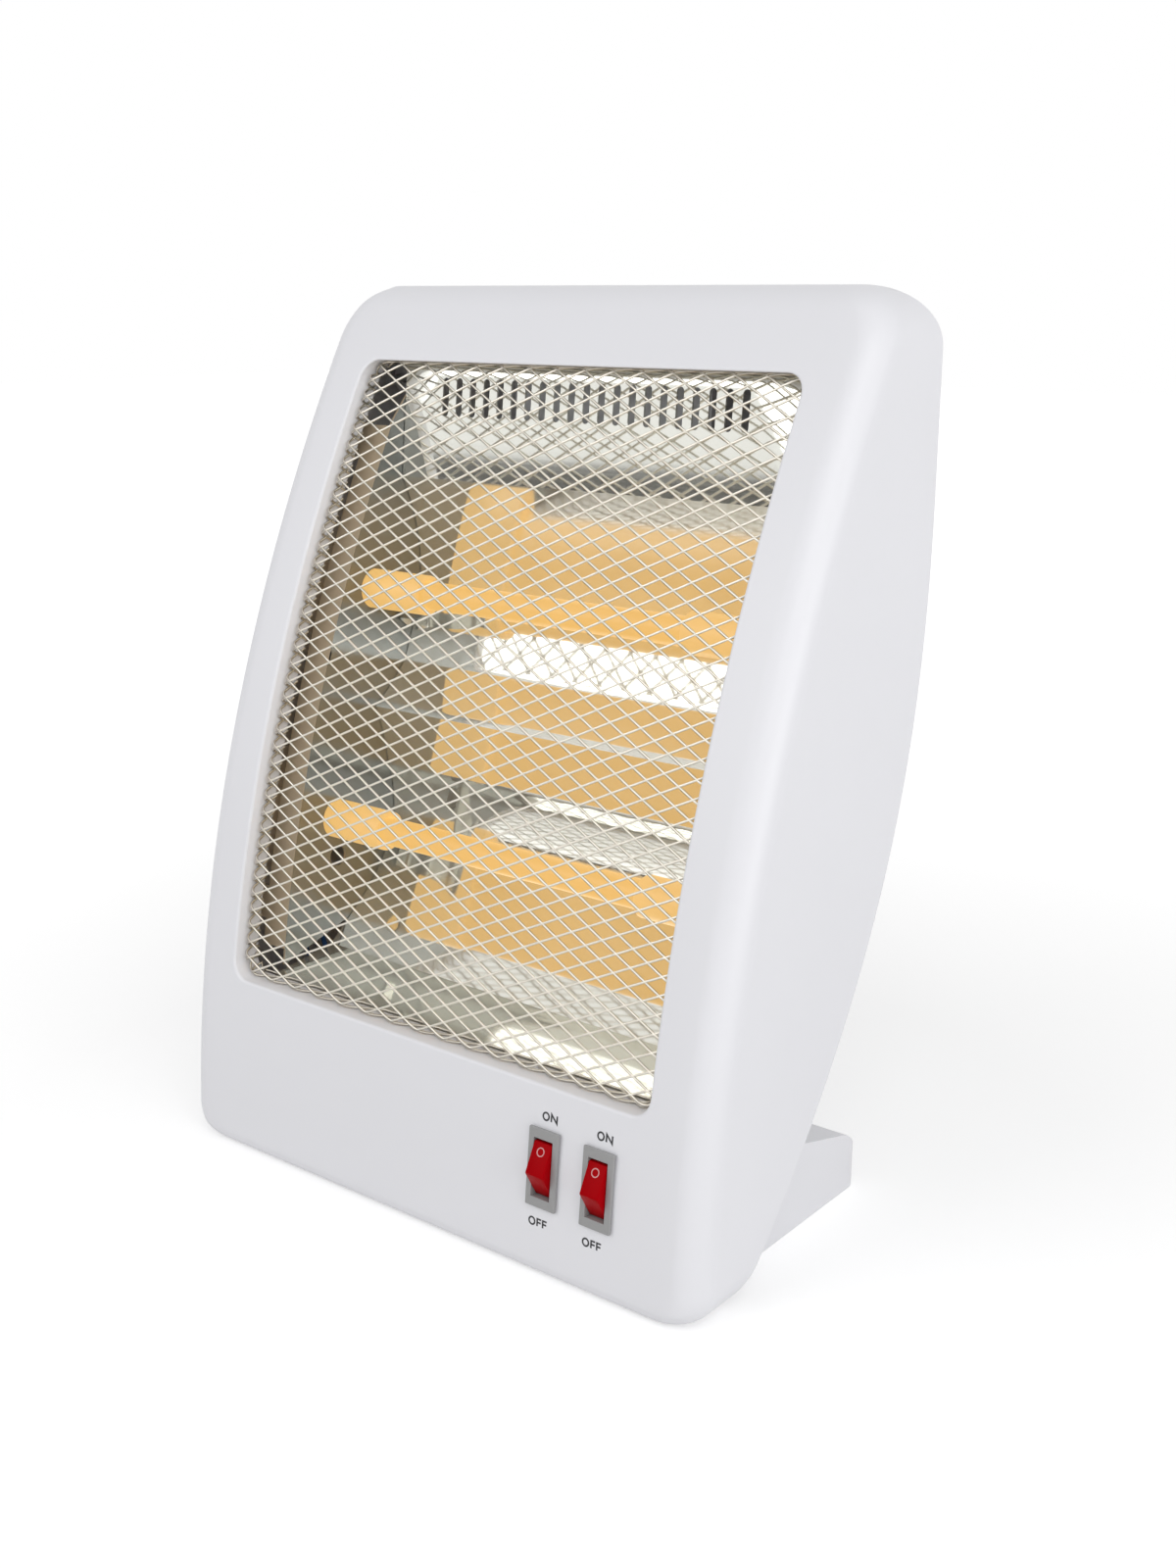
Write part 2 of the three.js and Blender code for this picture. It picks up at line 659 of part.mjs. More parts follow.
// ------------------------------------------------------------ heating tubes
for (const [[y, z], name] of [[TUBE_UPPER, 'upper'], [TUBE_LOWER, 'lower']]) {
  const quartz = [
    [-TUBE_HALF, TUBE_BORE_R], [-TUBE_HALF, TUBE_R], [TUBE_HALF, TUBE_R],
    [TUBE_HALF, TUBE_BORE_R], [-TUBE_HALF, TUBE_BORE_R],
  ];
  place(`quartz_tube_${name}`, turned(quartz, [0, y, z], [1, 0, 0], 16), QUARTZ);
  const coilEnd = TUBE_HALF - 2;
  const coil = [
    [-STUD_END_X, 0], [-STUD_END_X, STUD_R], [-coilEnd, STUD_R], [-coilEnd, COIL_R],
    [coilEnd, COIL_R], [coilEnd, STUD_R], [STUD_END_X, STUD_R], [STUD_END_X, 0],
  ];
  place(`heating_coil_${name}`, turned(coil, [0, y, z], [1, 0, 0], 10), COIL_METAL);
  for (const [side, sideName] of [[-1, 'left'], [1, 'right']]) {
    const bore = TUBE_R + GAP;
    const cap = [
      [CAP_INNER_X, bore], [CAP_INNER_X, CAP_R],
      [CAP_OUTER_X, CAP_R], [CAP_OUTER_X, 2], [TUBE_HALF + GAP, 2],
      [TUBE_HALF + GAP, bore], [CAP_INNER_X, bore],
    ];
    place(`tube_cap_${name}_${sideName}`, turned(cap, [0, y, z], [side, 0, 0], 16), CERAMIC);
    // The clip starts flat on the cheek, bows inward and presses on the cap.
    const path = [
      [0.7, 27], [0.7, 21], [2.5, 18.9], [7.7, 18.2], [13.7, 17], [18.7, 13.8], [21.3, 10.4],
      [22.7, 9.3], [24.7, 9.4], [26.3, 10.6],
    ].map(([x, r]) => [r, side * (CHEEK_X - x)]);
    const clipOutline = strip(path, 0.35, 0.35);
    const shape = new THREE.Shape(clipOutline.map(([r, x]) => new THREE.Vector2(x, r)));
    const clipBody = new THREE.ExtrudeGeometry(shape, { depth: 6, bevelEnabled: false });
    clipBody.translate(0, 0, -3);
    clipBody.rotateX(THREE.MathUtils.degToRad(50));
    place(`tube_clip_${name}_${sideName}`, clipBody.translate(0, y, z), SPRING_STEEL);
  }
}

// --------------------------------------------------------------- rear cover
const coverLevels = [COVER_Z0 + GAP, 22, 34, 50, 70, 94, 122];
coverLevels.push(...spread(154, HEIGHT - 82, 3), COVER_Z1 - GAP);
const coverCurve = coverLevels.map((z) => [coverY(z), z]);

function footScrewLine() {
  const z = 31;
  const y = coverY(z);
  const slope = (coverY(z + 3) - coverY(z - 3)) / 6;
  const length = Math.hypot(1, slope);
  return { point: [y, z], out: [1 / length, -slope / length] };
}

function along(x, { point, out }, distance) {
  return [x, point[0] + out[0] * distance, point[1] + out[1] * distance];
}

function buildCover() {
  const half = A - WALL + REBATE - GAP;
  const keep = solid(slab([...coverCurve, [0, COVER_Z1 - GAP], [0, COVER_Z0 + GAP]], -half, half));
  let body = solid(slab(strip(coverCurve, COVER_T, 0), -half, half));
  for (const [x, z] of housingScrewPlaces()) {
    body = body.add(solid(bar([x, wellInnerY(z), z], [x, coverY(z) + 12, z], WELL_R, 12)));
  }
  const screwLine = footScrewLine();
  for (const x of FOOT_SCREW_X) {
    body = body.add(solid(bar(along(x, screwLine, -12), along(x, screwLine, -1), 4, 10)));
  }
  const inletY = coverY(INLET_Z);
  body = body.add(solid(bar([INLET_X, inletY - 14, INLET_Z], [INLET_X, inletY + 12, INLET_Z], 10.5, 16)));
  const grip = [GRIP_HALF + COVER_T, REAR_Y - GRIP_DEPTH - COVER_T];
  body = body.add(solid(block(-grip[0], grip[0], grip[1], 150, GRIP_Z0 - COVER_T, GRIP_Z1 + COVER_T)));
  body = body.intersect(keep);
  body = cut(body, block(-GRIP_HALF, GRIP_HALF, REAR_Y - GRIP_DEPTH, 160, GRIP_Z0, GRIP_Z1));
  for (const [x, z] of housingScrewPlaces()) {
    const floor = wellInnerY(z) + WELL_FLOOR;
    body = cut(body, bar([x, floor, z], [x, floor + 30, z], SCREW_HEAD_R + 0.8, 12));
    body = cut(body, bar([x, floor - 5, z], [x, floor + 1, z], SCREW_HOLE_R, 8));
  }
  for (const x of FOOT_SCREW_X) {
    body = cut(body, bar(along(x, screwLine, -11), along(x, screwLine, 2), SCREW_R + GAP, 8));
  }
  const seat = inletY - 11.5;
  body = cut(body, bar([INLET_X, seat, INLET_Z], [INLET_X, seat + 30, INLET_Z], 8.3, 16));
  body = cut(body, bar([INLET_X, seat - 5, INLET_Z], [INLET_X, seat + 1, INLET_Z], INLET_HOLE_R, 16));
  for (let row = 0; row < 6; row += 1) {
    const z = GRIP_Z0 - 102 + row * 15;
    for (const [x0, x1] of [[-84, -4], [4, 84]]) body = cut(body, block(x0, x1, 110, 160, z, z + 4));
  }
  for (let row = 0; row < 4; row += 1) {
    const z = 96 + row * 15;
    for (const [x0, x1] of [[-70, -4], [4, 70]]) body = cut(body, block(x0, x1, 80, 160, z, z + 4));
  }
  return body;
}

place('rear_cover', geometryOf(buildCover()), WHITE);

const bushY = coverY(INLET_Z) - 11.5 + GAP;
const bush = [
  [bushY - 6, INLET_BORE_R], [bushY - 6, INLET_HOLE_R - GAP], [bushY, INLET_HOLE_R - GAP],
  [bushY, 7.8], [bushY + 2.2, 7.2], [bushY + 3, INLET_BORE_R], [bushY - 6, INLET_BORE_R],
];
place('cord_inlet_bush', turned(bush, [INLET_X, 0, INLET_Z], [0, 1, 0], 16), BLACK);

// ------------------------------------------------------------------ screws
function screw(head, direction, shaft) {
  const profile = [
    [0, 0], [0, SCREW_HEAD_R], [-SCREW_HEAD_H, SCREW_HEAD_R],
    [-SCREW_HEAD_H, SCREW_R], [-SCREW_HEAD_H - shaft, SCREW_R], [-SCREW_HEAD_H - shaft, 0],
  ];
  return turned(profile, head, direction, 8);
}

housingScrewPlaces().forEach(([x, z], i) => {
  const y = wellInnerY(z) + WELL_FLOOR + GAP + SCREW_HEAD_H;
  place(`housing_screw_${i + 1}`, screw([x, y, z], [0, 1, 0], WELL_FLOOR + 13), ZINC);
});

earScrewPlaces().forEach(([x, z], i) => {
  const y = faceY(z + 4) + CHEEK_SET + SHEET + GAP + SCREW_HEAD_H;
  place(`reflector_screw_${i + 1}`, screw([x, y, z], [0, 1, 0], 10), ZINC);
});

FOOT_SCREW_X.forEach((x, i) => {
  const line = footScrewLine();
  const head = along(x, line, 2 * GAP + FOOT_WALL + SCREW_HEAD_H);
  place(`foot_screw_${i + 1}`, screw(head, [0, ...line.out], FOOT_WALL + 9), ZINC);
});

// --------------------------------------------------------------------- foot
function footOutline(inset) {
  const clear = GAP + inset;
  const seatTop = 42.5;
  const front = [];
  for (const z of [17, 22, 28, 35, seatTop]) {
    const slope = (coverY(z + 2) - coverY(z - 2)) / 4;
    const length = Math.hypot(1, slope);
    front.push([coverY(z) + clear / length, z - clear * slope / length]);
  }
  const low = inset > 0 ? -1 : 0;
  const rear = [[96, 35.5], [125.4, 27.3], [131.5, 25.4], [136.6, 21.6], [141.6, 14.9], [143.8, 9], [143.8, 3]];
  const back = rear.map(([y, z]) => [y - inset * 0.8, z - inset]);
  const end = 142.6 - inset;
  return [[front[0][0], low], ...front, ...back, [end, low]];
}

// The foot seen from above, with its two rear corners rounded.
function footPlan(inset) {
  const half = FOOT_HALF - inset;
  const r = FOOT_CORNER - inset;
  const y0 = 10;
  const y1 = FOOT_REAR_Y - inset;
  const plan = new THREE.Shape();
  plan.moveTo(-half, -y0);
  plan.lineTo(half, -y0);
  plan.lineTo(half, -y1 + r);
  plan.absarc(half - r, -y1 + r, r, 0, -Math.PI / 2, true);
  plan.absarc(-half + r, -y1 + r, r, -Math.PI / 2, -Math.PI, true);
  const g = new THREE.ExtrudeGeometry(plan, { depth: 60, bevelEnabled: false, curveSegments: 4 });
  g.rotateX(Math.PI);
  return solid(g.translate(0, 0, 55));
}

function buildFoot() {
  let body = solid(slab(footOutline(0), -FOOT_HALF, FOOT_HALF)).intersect(footPlan(0));
  const ribs = [-FOOT_HALF, -62, -60, 60, 62, FOOT_HALF];
  const hollow = footPlan(FOOT_WALL);
  for (let i = 0; i < ribs.length; i += 2) {
    const bay = solid(slab(footOutline(FOOT_WALL), ribs[i], ribs[i + 1]));
    body = body.subtract(bay.intersect(hollow));
  }
  const line = footScrewLine();
  for (const x of FOOT_SCREW_X) body = cut(body, bar(along(x, line, -1), along(x, line, 6), SCREW_HOLE_R, 8));
  return body;
}

place('stand_foot', geometryOf(buildFoot()), WHITE);

// ----------------------------------------------------------------- switches
heater.add(switches);

function rockerOutline() {
  const outline = [
    [0, ROCKER_RIDGE], [-ROCKER_HALF, 0.1], [-10.4, -4.5], [-4, -7],
    [4, -7], [10.4, -4.5], [ROCKER_HALF, 0.1],
  ];
  return outline.map(([v, w]) => [-(w - ROCKER_PIVOT), v]);
}

SWITCH_X.forEach((x, i) => {
  const n = i + 1;
  const hw = SWITCH_BODY_W / 2;
  const hl = SWITCH_BODY_L / 2;
  const mouthW = ROCKER_W / 2 + GAP;
  const mouthL = 11.65;
  let housing = union(
    block(-BEZEL_W / 2, BEZEL_W / 2, -BEZEL_T, -0.15, -BEZEL_L / 2, BEZEL_L / 2),
    block(-hw, hw, -BEZEL_T / 2, SWITCH_DEPTH, -hl, hl),
  );
  housing = cut(
    housing,
    block(-mouthW, mouthW, -5, 9, -mouthL, mouthL),
    bar([-mouthW - 1.2, -ROCKER_PIVOT, 0], [mouthW + 1.2, -ROCKER_PIVOT, 0], 1.5, 12),
  );
  for (const v of [-7, 7]) housing = cut(housing, block(-3.5, 3.5, 12, 20, v - 0.7, v + 0.7));
  place(`switch_housing_${n}`, geometryOf(housing), SWITCH_GREY, switches).position.x = x;
  for (const [v, end] of [[-7, 'lower'], [7, 'upper']]) {
    const blade = block(-3.15, 3.15, 12.4, 26, v - 0.4, v + 0.4);
    place(`switch_${n}_blade_${end}`, blade, BRASS, switches).position.x = x;
  }
  let rocker = solid(slab(rockerOutline(), -ROCKER_W / 2, ROCKER_W / 2));
  rocker = rocker.add(solid(bar([-mouthW - 0.9, 0, 0], [mouthW + 0.9, 0, 0], 1.2, 12)));
  const mesh = place(`rocker_${n}`, geometryOf(rocker), ROCKER_RED, switches);
  mesh.position.set(x, -ROCKER_PIVOT, 0);
  mesh.rotation.x = THREE.MathUtils.degToRad(ROCKER_TILT);
});

// -------------------------------------------------------------- tilt switch
const TILT_BODY = [TILT_X - 12, TILT_X + 12, TILT_Y - 7, TILT_Y + 7];
const TILT_BODY_Z0 = 18;
const TILT_BODY_Z1 = 34;
let tilt = union(
  block(...TILT_BODY, TILT_BODY_Z0, TILT_BODY_Z1),
  block(TILT_BODY[0], TILT_BODY[0] + 4, TILT_BODY[2], TILT_BODY[3], WALL + GAP, TILT_BODY_Z0 + 1),
  block(TILT_BODY[1] - 4, TILT_BODY[1], TILT_BODY[2], TILT_BODY[3], WALL + GAP, TILT_BODY_Z0 + 1),
);
tilt = cut(tilt, bar([TILT_X, TILT_Y, 10], [TILT_X, TILT_Y, 31], 1.9, 12));
place('tilt_switch_body', geometryOf(tilt), BLACK);

const BUTTON_TOP = WALL + TILT_TRAVEL + 0.5;
const plunger = [
  [0, 0], [0, TILT_BUTTON_R], [BUTTON_TOP, TILT_BUTTON_R], [BUTTON_TOP, 4.6],
  [BUTTON_TOP + 1.4, 4.6], [BUTTON_TOP + 1.4, SCREW_R], [29, SCREW_R], [29, 0],
];
place('tilt_plunger', turned(plunger, [TILT_X, TILT_Y, 0], [0, 0, 1], 16), BLOCK_WHITE);

// The spring's wire follows a helix between the button's collar and the switch.
const SPRING_Z0 = BUTTON_TOP + 1.4 + GAP + SPRING_WIRE_R;
const SPRING_Z1 = TILT_BODY_Z0 - GAP - SPRING_WIRE_R;
class Helix extends THREE.Curve {
  getPoint(t) {
    const angle = t * SPRING_TURNS * 2 * Math.PI;
    const z = SPRING_Z0 + t * (SPRING_Z1 - SPRING_Z0);
    return new THREE.Vector3(SPRING_R * Math.cos(angle), SPRING_R * Math.sin(angle), z);
  }
}
function wireSection(radius, sides) {
  const section = [];
  for (let i = 0; i < sides; i += 1) {
    const angle = (i / sides) * 2 * Math.PI;
    section.push(new THREE.Vector2(radius * Math.cos(angle), radius * Math.sin(angle)));
  }
  return new THREE.Shape(section);
}
const spring = new THREE.ExtrudeGeometry(wireSection(SPRING_WIRE_R, 5), {
  steps: SPRING_TURNS * 8, extrudePath: new Helix(), bevelEnabled: false,
});
place('plunger_spring', spring.translate(TILT_X, TILT_Y, 0), SPRING_STEEL);

const springGap = (SPRING_Z1 - SPRING_Z0) / SPRING_TURNS - 2 * SPRING_WIRE_R;
console.log(`least gap of the plunger spring to itself: ${springGap.toFixed(2)} mm`);

// ------------------------------------------------------- cut-out and block
const CUTOUT_AT = [TUBE_UPPER[0] + 10, TUBE_UPPER[1] + 33];
const cutoutX = CHEEK_X + SHEET + GAP;
const cutout = union(
  block(cutoutX, cutoutX + 1.2, CUTOUT_AT[0] - 5, CUTOUT_AT[0] + 5, CUTOUT_AT[1] - 12, CUTOUT_AT[1] + 12),
  bar([cutoutX + 1, ...CUTOUT_AT], [cutoutX + 9, ...CUTOUT_AT], 8, 16),
  block(cutoutX + 8, cutoutX + 13, CUTOUT_AT[0] - 4.4, CUTOUT_AT[0] - 3.6, CUTOUT_AT[1] - 3, CUTOUT_AT[1] + 3),
  block(cutoutX + 8, cutoutX + 13, CUTOUT_AT[0] + 3.6, CUTOUT_AT[0] + 4.4, CUTOUT_AT[1] - 3, CUTOUT_AT[1] + 3),
);
place('thermal_cutout', geometryOf(cutout), BLACK);

let terminals = solid(block(...BLOCK_X, ...BLOCK_Y, ...BLOCK_Z));
for (const x of [-21, -8, 5]) {
  terminals = cut(terminals, bar([x, 18, 36], [x, 18, 50], 2.4, 10));
  terminals = cut(terminals, block(x + 6.1, x + 7, 5, 30, 42, 50));
}
place('terminal_block', geometryOf(terminals), BLOCK_WHITE);

// ------------------------------------------------------------ internal leads
function lead(points, steps) {
  const curve = new THREE.CatmullRomCurve3(points.map((p) => new THREE.Vector3(...p)), false, 'centripetal');
  return new THREE.ExtrudeGeometry(wireSection(1.1, 6), { steps, extrudePath: curve, bevelEnabled: false });
}

function bladeTip(n, v, reach = 26.2 + GAP) {
  const tip = new THREE.Vector3(SWITCH_X[n], reach, v).applyMatrix4(switches.matrixWorld);
  return [tip.x, tip.y, tip.z];
}

const cutoutTip = cutoutX + 13 + GAP;
const studTip = STUD_END_X + GAP;
const upperRight = bladeTip(1, 7);
const lowerRight = bladeTip(1, -7);
const lowerLeft = bladeTip(0, -7);
const LEAD_RUN = 3;
const SIDE = WIDTH / 2;
const runOut = (n, v) => bladeTip(n, v, 26.2 + GAP + LEAD_RUN);
place('lead_block_tilt', lead([
  [BLOCK_X[0] - GAP, 17, 38], [-34, 17, 38], [-41, 17, 31], [TILT_BODY[1] + GAP, 17, 30],
], 8), LEAD_BROWN);
place('lead_tilt_cutout', lead([
  [TILT_X, TILT_Y, TILT_BODY_Z1 + GAP], [-59, 18, 44], [-46, 23, 54], [-14, 31, 60], [60, 38, 64],
  [SIDE - 38.6, 53, 68], [SIDE - 23.6, 70, 88], [SIDE - 21.1, 87, 130],
  [SIDE - 21.1, TUBE_UPPER[0] + 11, TUBE_UPPER[1] - 55],
  [SIDE - 20.1, TUBE_UPPER[0] + 18, TUBE_UPPER[1] - 9],
  [SIDE - 18.6, TUBE_UPPER[0] + 17, TUBE_UPPER[1] + 21],
  [cutoutTip + LEAD_RUN, CUTOUT_AT[0] + 4, CUTOUT_AT[1] - 1],
  [cutoutTip, CUTOUT_AT[0] + 4, CUTOUT_AT[1]],
], 18), LEAD_BROWN);
place('lead_cutout_switch', lead([
  [cutoutTip, CUTOUT_AT[0] - 4, CUTOUT_AT[1]],
  [cutoutTip + LEAD_RUN, CUTOUT_AT[0] - 4, CUTOUT_AT[1] - 1],
  [SIDE - 18.6, TUBE_UPPER[0] + 7, TUBE_UPPER[1] + 21],
  [SIDE - 20.6, TUBE_UPPER[0] + 10, TUBE_UPPER[1] + 3],
  [SIDE - 28.6, TUBE_UPPER[0] + 10, TUBE_UPPER[1] - 30],
  [SIDE - 29.6, TUBE_UPPER[0] + 2, TUBE_UPPER[1] - 65],
  [SIDE - 29.1, 80, 130], [SIDE - 30.6, 60, 94], [SIDE - 37.6, 41, 69], runOut(1, 7), upperRight,
], 16), LEAD_BROWN);
place('lead_switch_bridge', lead([
  [SWITCH_X[1] - 3.15 - GAP, upperRight[1] - 4, upperRight[2] - 0.4],
  [(SWITCH_X[0] + SWITCH_X[1]) / 2, upperRight[1] - 4, upperRight[2]],
  [SWITCH_X[0] + 3.15 + GAP, upperRight[1] - 4, upperRight[2] - 0.4],
], 4), LEAD_BROWN);
place('lead_switch_lower_tube', lead([
  lowerRight, runOut(1, -7), [SIDE - 39.6, 42, 43], [SIDE - 23.6, 56, 62], [SIDE - 12.6, 61, 98],
  [SIDE - 10.1, TUBE_LOWER[0], TUBE_LOWER[1] - 13],
  [SIDE - 12.1, TUBE_LOWER[0], TUBE_LOWER[1] - 2], [studTip, ...TUBE_LOWER],
], 12), LEAD_BROWN);
place('lead_switch_upper_tube', lead([
  lowerLeft, runOut(0, -7), [72, 44, 38], [SIDE - 36.6, 56, 50], [SIDE - 15.6, 67, 84], [SIDE - 6.6, 78, 134],
  [SIDE - 5.4, TUBE_UPPER[0] - 2, TUBE_UPPER[1] - 65],
  [SIDE - 5.4, TUBE_UPPER[0] + 2, TUBE_UPPER[1] - 35],
  [SIDE - 8.1, TUBE_UPPER[0] + 1, TUBE_UPPER[1] - 9],
  [SIDE - 12.6, TUBE_UPPER[0], TUBE_UPPER[1] - 0.5], [studTip, ...TUBE_UPPER],
], 16), LEAD_BROWN);
place('lead_return_lower', lead([
  [-studTip, ...TUBE_LOWER], [12.1 - SIDE, TUBE_LOWER[0], TUBE_LOWER[1] - 2],
  [10.1 - SIDE, TUBE_LOWER[0], TUBE_LOWER[1] - 13], [15.6 - SIDE, 56, 86], [36.6 - SIDE, 50, 62],
  [-60, 47, 56], [-24, 42, 50], [-12, 33, 44],
  [-8, BLOCK_Y[1] + GAP + LEAD_RUN, 41], [-8, BLOCK_Y[1] + GAP, 41],
], 14), LEAD_BLUE);
place('lead_return_upper', lead([
  [-studTip, ...TUBE_UPPER], [12.6 - SIDE, TUBE_UPPER[0], TUBE_UPPER[1] - 0.5],
  [8.1 - SIDE, TUBE_UPPER[0] + 1, TUBE_UPPER[1] - 9],
  [5.4 - SIDE, TUBE_UPPER[0] + 2, TUBE_UPPER[1] - 35],
  [5.4 - SIDE, TUBE_UPPER[0] - 2, TUBE_UPPER[1] - 65],
  [7.1 - SIDE, 79, 134], [16.6 - SIDE, 66, 92], [36.6 - SIDE, 55, 71], [-60, 54, 62], [-14, 50, 54],
  [0, 36, 44],
  [4, BLOCK_Y[1] + GAP + LEAD_RUN, 39], [4, BLOCK_Y[1] + GAP, 39],
], 17), LEAD_BLUE);

heater.position.y = -ORIGIN_Y;
heater.updateMatrixWorld(true);

export default heater;
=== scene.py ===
"""Two-tube quartz bar heater: its visible pieces, finishes and stage, built round the CAD frame.

Lengths in the shape code are millimetres, with y counted from the lower front edge of the face.
Every mesh is written in metres in the frame's own axes.
"""

import json
import math

import bmesh
import bpy
from bpy.props import FloatProperty, FloatVectorProperty, IntProperty, PointerProperty
from mathutils import Matrix, Vector


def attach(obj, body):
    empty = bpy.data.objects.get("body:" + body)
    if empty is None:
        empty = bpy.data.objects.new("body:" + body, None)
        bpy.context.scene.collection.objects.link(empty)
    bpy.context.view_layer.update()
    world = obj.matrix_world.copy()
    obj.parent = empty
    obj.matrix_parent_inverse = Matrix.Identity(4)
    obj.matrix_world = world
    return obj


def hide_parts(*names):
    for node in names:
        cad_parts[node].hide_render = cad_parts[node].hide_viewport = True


bl_info = {
    "name": "Quartz bar heater",
    "version": (1, 0, 0),
    "blender": (4, 5, 0),
    "location": "View3D > Sidebar > Heater",
    "description": "Builds the visible pieces, finishes and stage of a quartz bar heater",
    "category": "Object",
}

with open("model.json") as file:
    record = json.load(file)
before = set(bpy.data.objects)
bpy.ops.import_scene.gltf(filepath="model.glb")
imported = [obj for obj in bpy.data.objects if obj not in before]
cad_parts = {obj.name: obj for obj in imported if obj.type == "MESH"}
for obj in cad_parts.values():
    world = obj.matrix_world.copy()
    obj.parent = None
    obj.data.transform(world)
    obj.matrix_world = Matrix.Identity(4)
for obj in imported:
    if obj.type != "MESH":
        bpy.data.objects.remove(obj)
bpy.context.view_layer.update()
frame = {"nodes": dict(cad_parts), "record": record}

MM = 0.001
ORIGIN_Y = 73.09
BODY = "heater"

# ------------------------------------------------------------------ dimensions
WIDTH, HEIGHT = 273.2, 362.0
HALF = WIDTH / 2
REAR_Y = 149.2
FACE_LEAN, FACE_BOW = 115.9, 26.1
REAR_SWEEP, REAR_SWEEP_TOP, REAR_SWEEP_POWER = 123.0, 290.0, 2.35
CORNER_TOP, CORNER_BOTTOM = 22.0, 15.0
EDGE_TOP, EDGE_BOTTOM, EDGE_SIDE = 8.0, 8.0, 12.0
REAR_TOP_R = 22.0
WALL, GAP = 2.5, 0.3

WINDOW_HALF, WINDOW_Z0, WINDOW_Z1, WINDOW_R = 110.0, 76.9, 331.5, 8.0
LIP_WALL, LIP_DEPTH, LIP_ROUND = 2.0, 12.8, 1.2
GUARD_FRONT, GUARD_SHEET = 4.0, 1.2

TUBE_UPPER, TUBE_LOWER = (89.96, 235.0), (62.01, 137.0)
TUBE_R, TUBE_BORE_R, TUBE_HALF = 6.0, 4.8, 96.0
CAP_R, CAP_INNER_X, CAP_OUTER_X = 8.5, 68.0, 113.0

# A trough's depth behind its tube falls with a curve up to its bend, and past the bend with a
# slope and a further curl: (curve, bend, slope, curl).
UPPER_DEPTH, LOWER_DEPTH = 27.1, 34.6
UPPER_ABOVE, UPPER_BELOW = (0.0089, 50.3, 0.0, 0.0), (0.0025, 28.3, 0.45, 0.0066)
LOWER_ABOVE, LOWER_BELOW = (0.0126, 26.5, 0.4, 0.0069), (0.0093, 42.0, 0.7, 0.0)
UPPER_END, LOWER_END = 50.3, 56.0
SHEET = 1.0
CHEEK_X, CHEEK_SET, CHEEK_FLANGE_X = 99.7, 19.0, 113.0
EAR_X, EAR_SCREW_X, EAR_Z = 125.0, 119.0, (104.0, 298.0)
LEAD_HOLE_START, LEAD_HOLE_END, LEAD_HOLE_R = (61.01, 120.0), (61.0, 120.0), 4.5
# Cheek faces that look further forward than this get the flange's painted warm light.
FACING_FRONT = -0.7
SLOT_COUNT, SLOT_PITCH, SLOT_WIDTH = 21, 7.6, 3.4
SLOT_Z0, SLOT_Z1 = 308.5, 324.5

SWITCH_X, SWITCH_Z = (65.65, 91.32), 45.6
BEZEL_W, BEZEL_L, BEZEL_T = 14.2, 31.0, 1.6
SWITCH_BODY_W, SWITCH_BODY_L, SWITCH_DEPTH = 12.2, 27.6, 17.0
ROCKER_HALF, ROCKER_W, ROCKER_RIDGE = 11.0, 8.4, 6.1
ROCKER_PIVOT, ROCKER_TILT = -4.0, 7.0

COVER_T, COVER_INSET, COVER_Z0, COVER_Z1, REBATE = 2.2, 1.0, 14.0, 336.0, 0.5
# A set of vents: half a vent's length, its centre's distance from the middle, the height of the
# lowest one, the number of rows, and the depth from which they are cut.
VENT_HEIGHT, VENT_PITCH = 4.0, 15.0
UPPER_VENTS, LOWER_VENTS = (40.0, 44.0, 200.0, 6, 105.0), (33.0, 37.0, 96.0, 4, 76.0)
HOUSING_SCREW_X, HOUSING_SCREW_Z = 124.0, (30.0, 180.0, 322.0)
WELL_R, WELL_DEPTH, WELL_FLOOR = 6.0, 12.0, 2.5
SCREW_R, SCREW_HOLE_R, SCREW_HEAD_R, SCREW_HEAD_H = 1.5, 1.9, 3.4, 2.2
GRIP_HALF, GRIP_Z0, GRIP_Z1, GRIP_DEPTH = 48.0, 302.0, 330.0, 20.0
INLET_X, INLET_Z, INLET_HOLE_R, INLET_BORE_R = -95.0, 62.0, 5.2, 3.3

FOOT_HALF, FOOT_WALL, FOOT_REAR_Y, FOOT_CORNER = 120.5, 2.5, 143.8, 9.0
FOOT_BAYS = ((-FOOT_HALF, -62.0), (-60.0, 60.0), (62.0, FOOT_HALF))
FOOT_NOSE = ((125.4, 27.3), (131.5, 25.4), (136.6, 21.6), (141.6, 14.9), (143.8, 9), (143.8, 3))
FOOT_SCREW_X, FOOT_SCREW_Z = (-95.0, -32.0, 32.0, 95.0), 31.0
TILT_X, TILT_Y, TILT_BUTTON_R = -60.0, 17.0, 3.5

CAMERA_PLACE = (445.26, -452.06, 358.88)
CAMERA_AZIMUTH, CAMERA_PITCH, CAMERA_LENS, CAMERA_SENSOR = 38.25, 15.56, 40.45, 36.0
FLOOR_HALF, FLOOR_Z = 6000.0, -0.1
# A dark card far in front gives the polished sheet something dark to mirror.
CARD_Y, CARD_X, CARD_Z = -3000.0, (-9000.0, 5000.0), (60.0, 545.0)
# Lamps in metres and watts: name, place, width and height, power.
LAMPS = (("key", (1.3, -1.2, 1.6), (1.4, 1.4), 12), ("front", (-0.9, -1.8, 1.2), (1.6, 1.2), 12),
         ("side", (2.0, -0.3, 0.5), (1.2, 1.0), 12))
LAMP_TARGET = (0, 0, 0.15)
SKY_LIGHT, SKY_SEEN = 0.46, 1.0


def linear(red, green, blue):
    """A colour as read off a screen, in the linear values that shaders use."""

    def one(value):
        value /= 255.0
        return value / 12.92 if value <= 0.04045 else ((value + 0.055) / 1.055) ** 2.4

    return (one(red), one(green), one(blue))


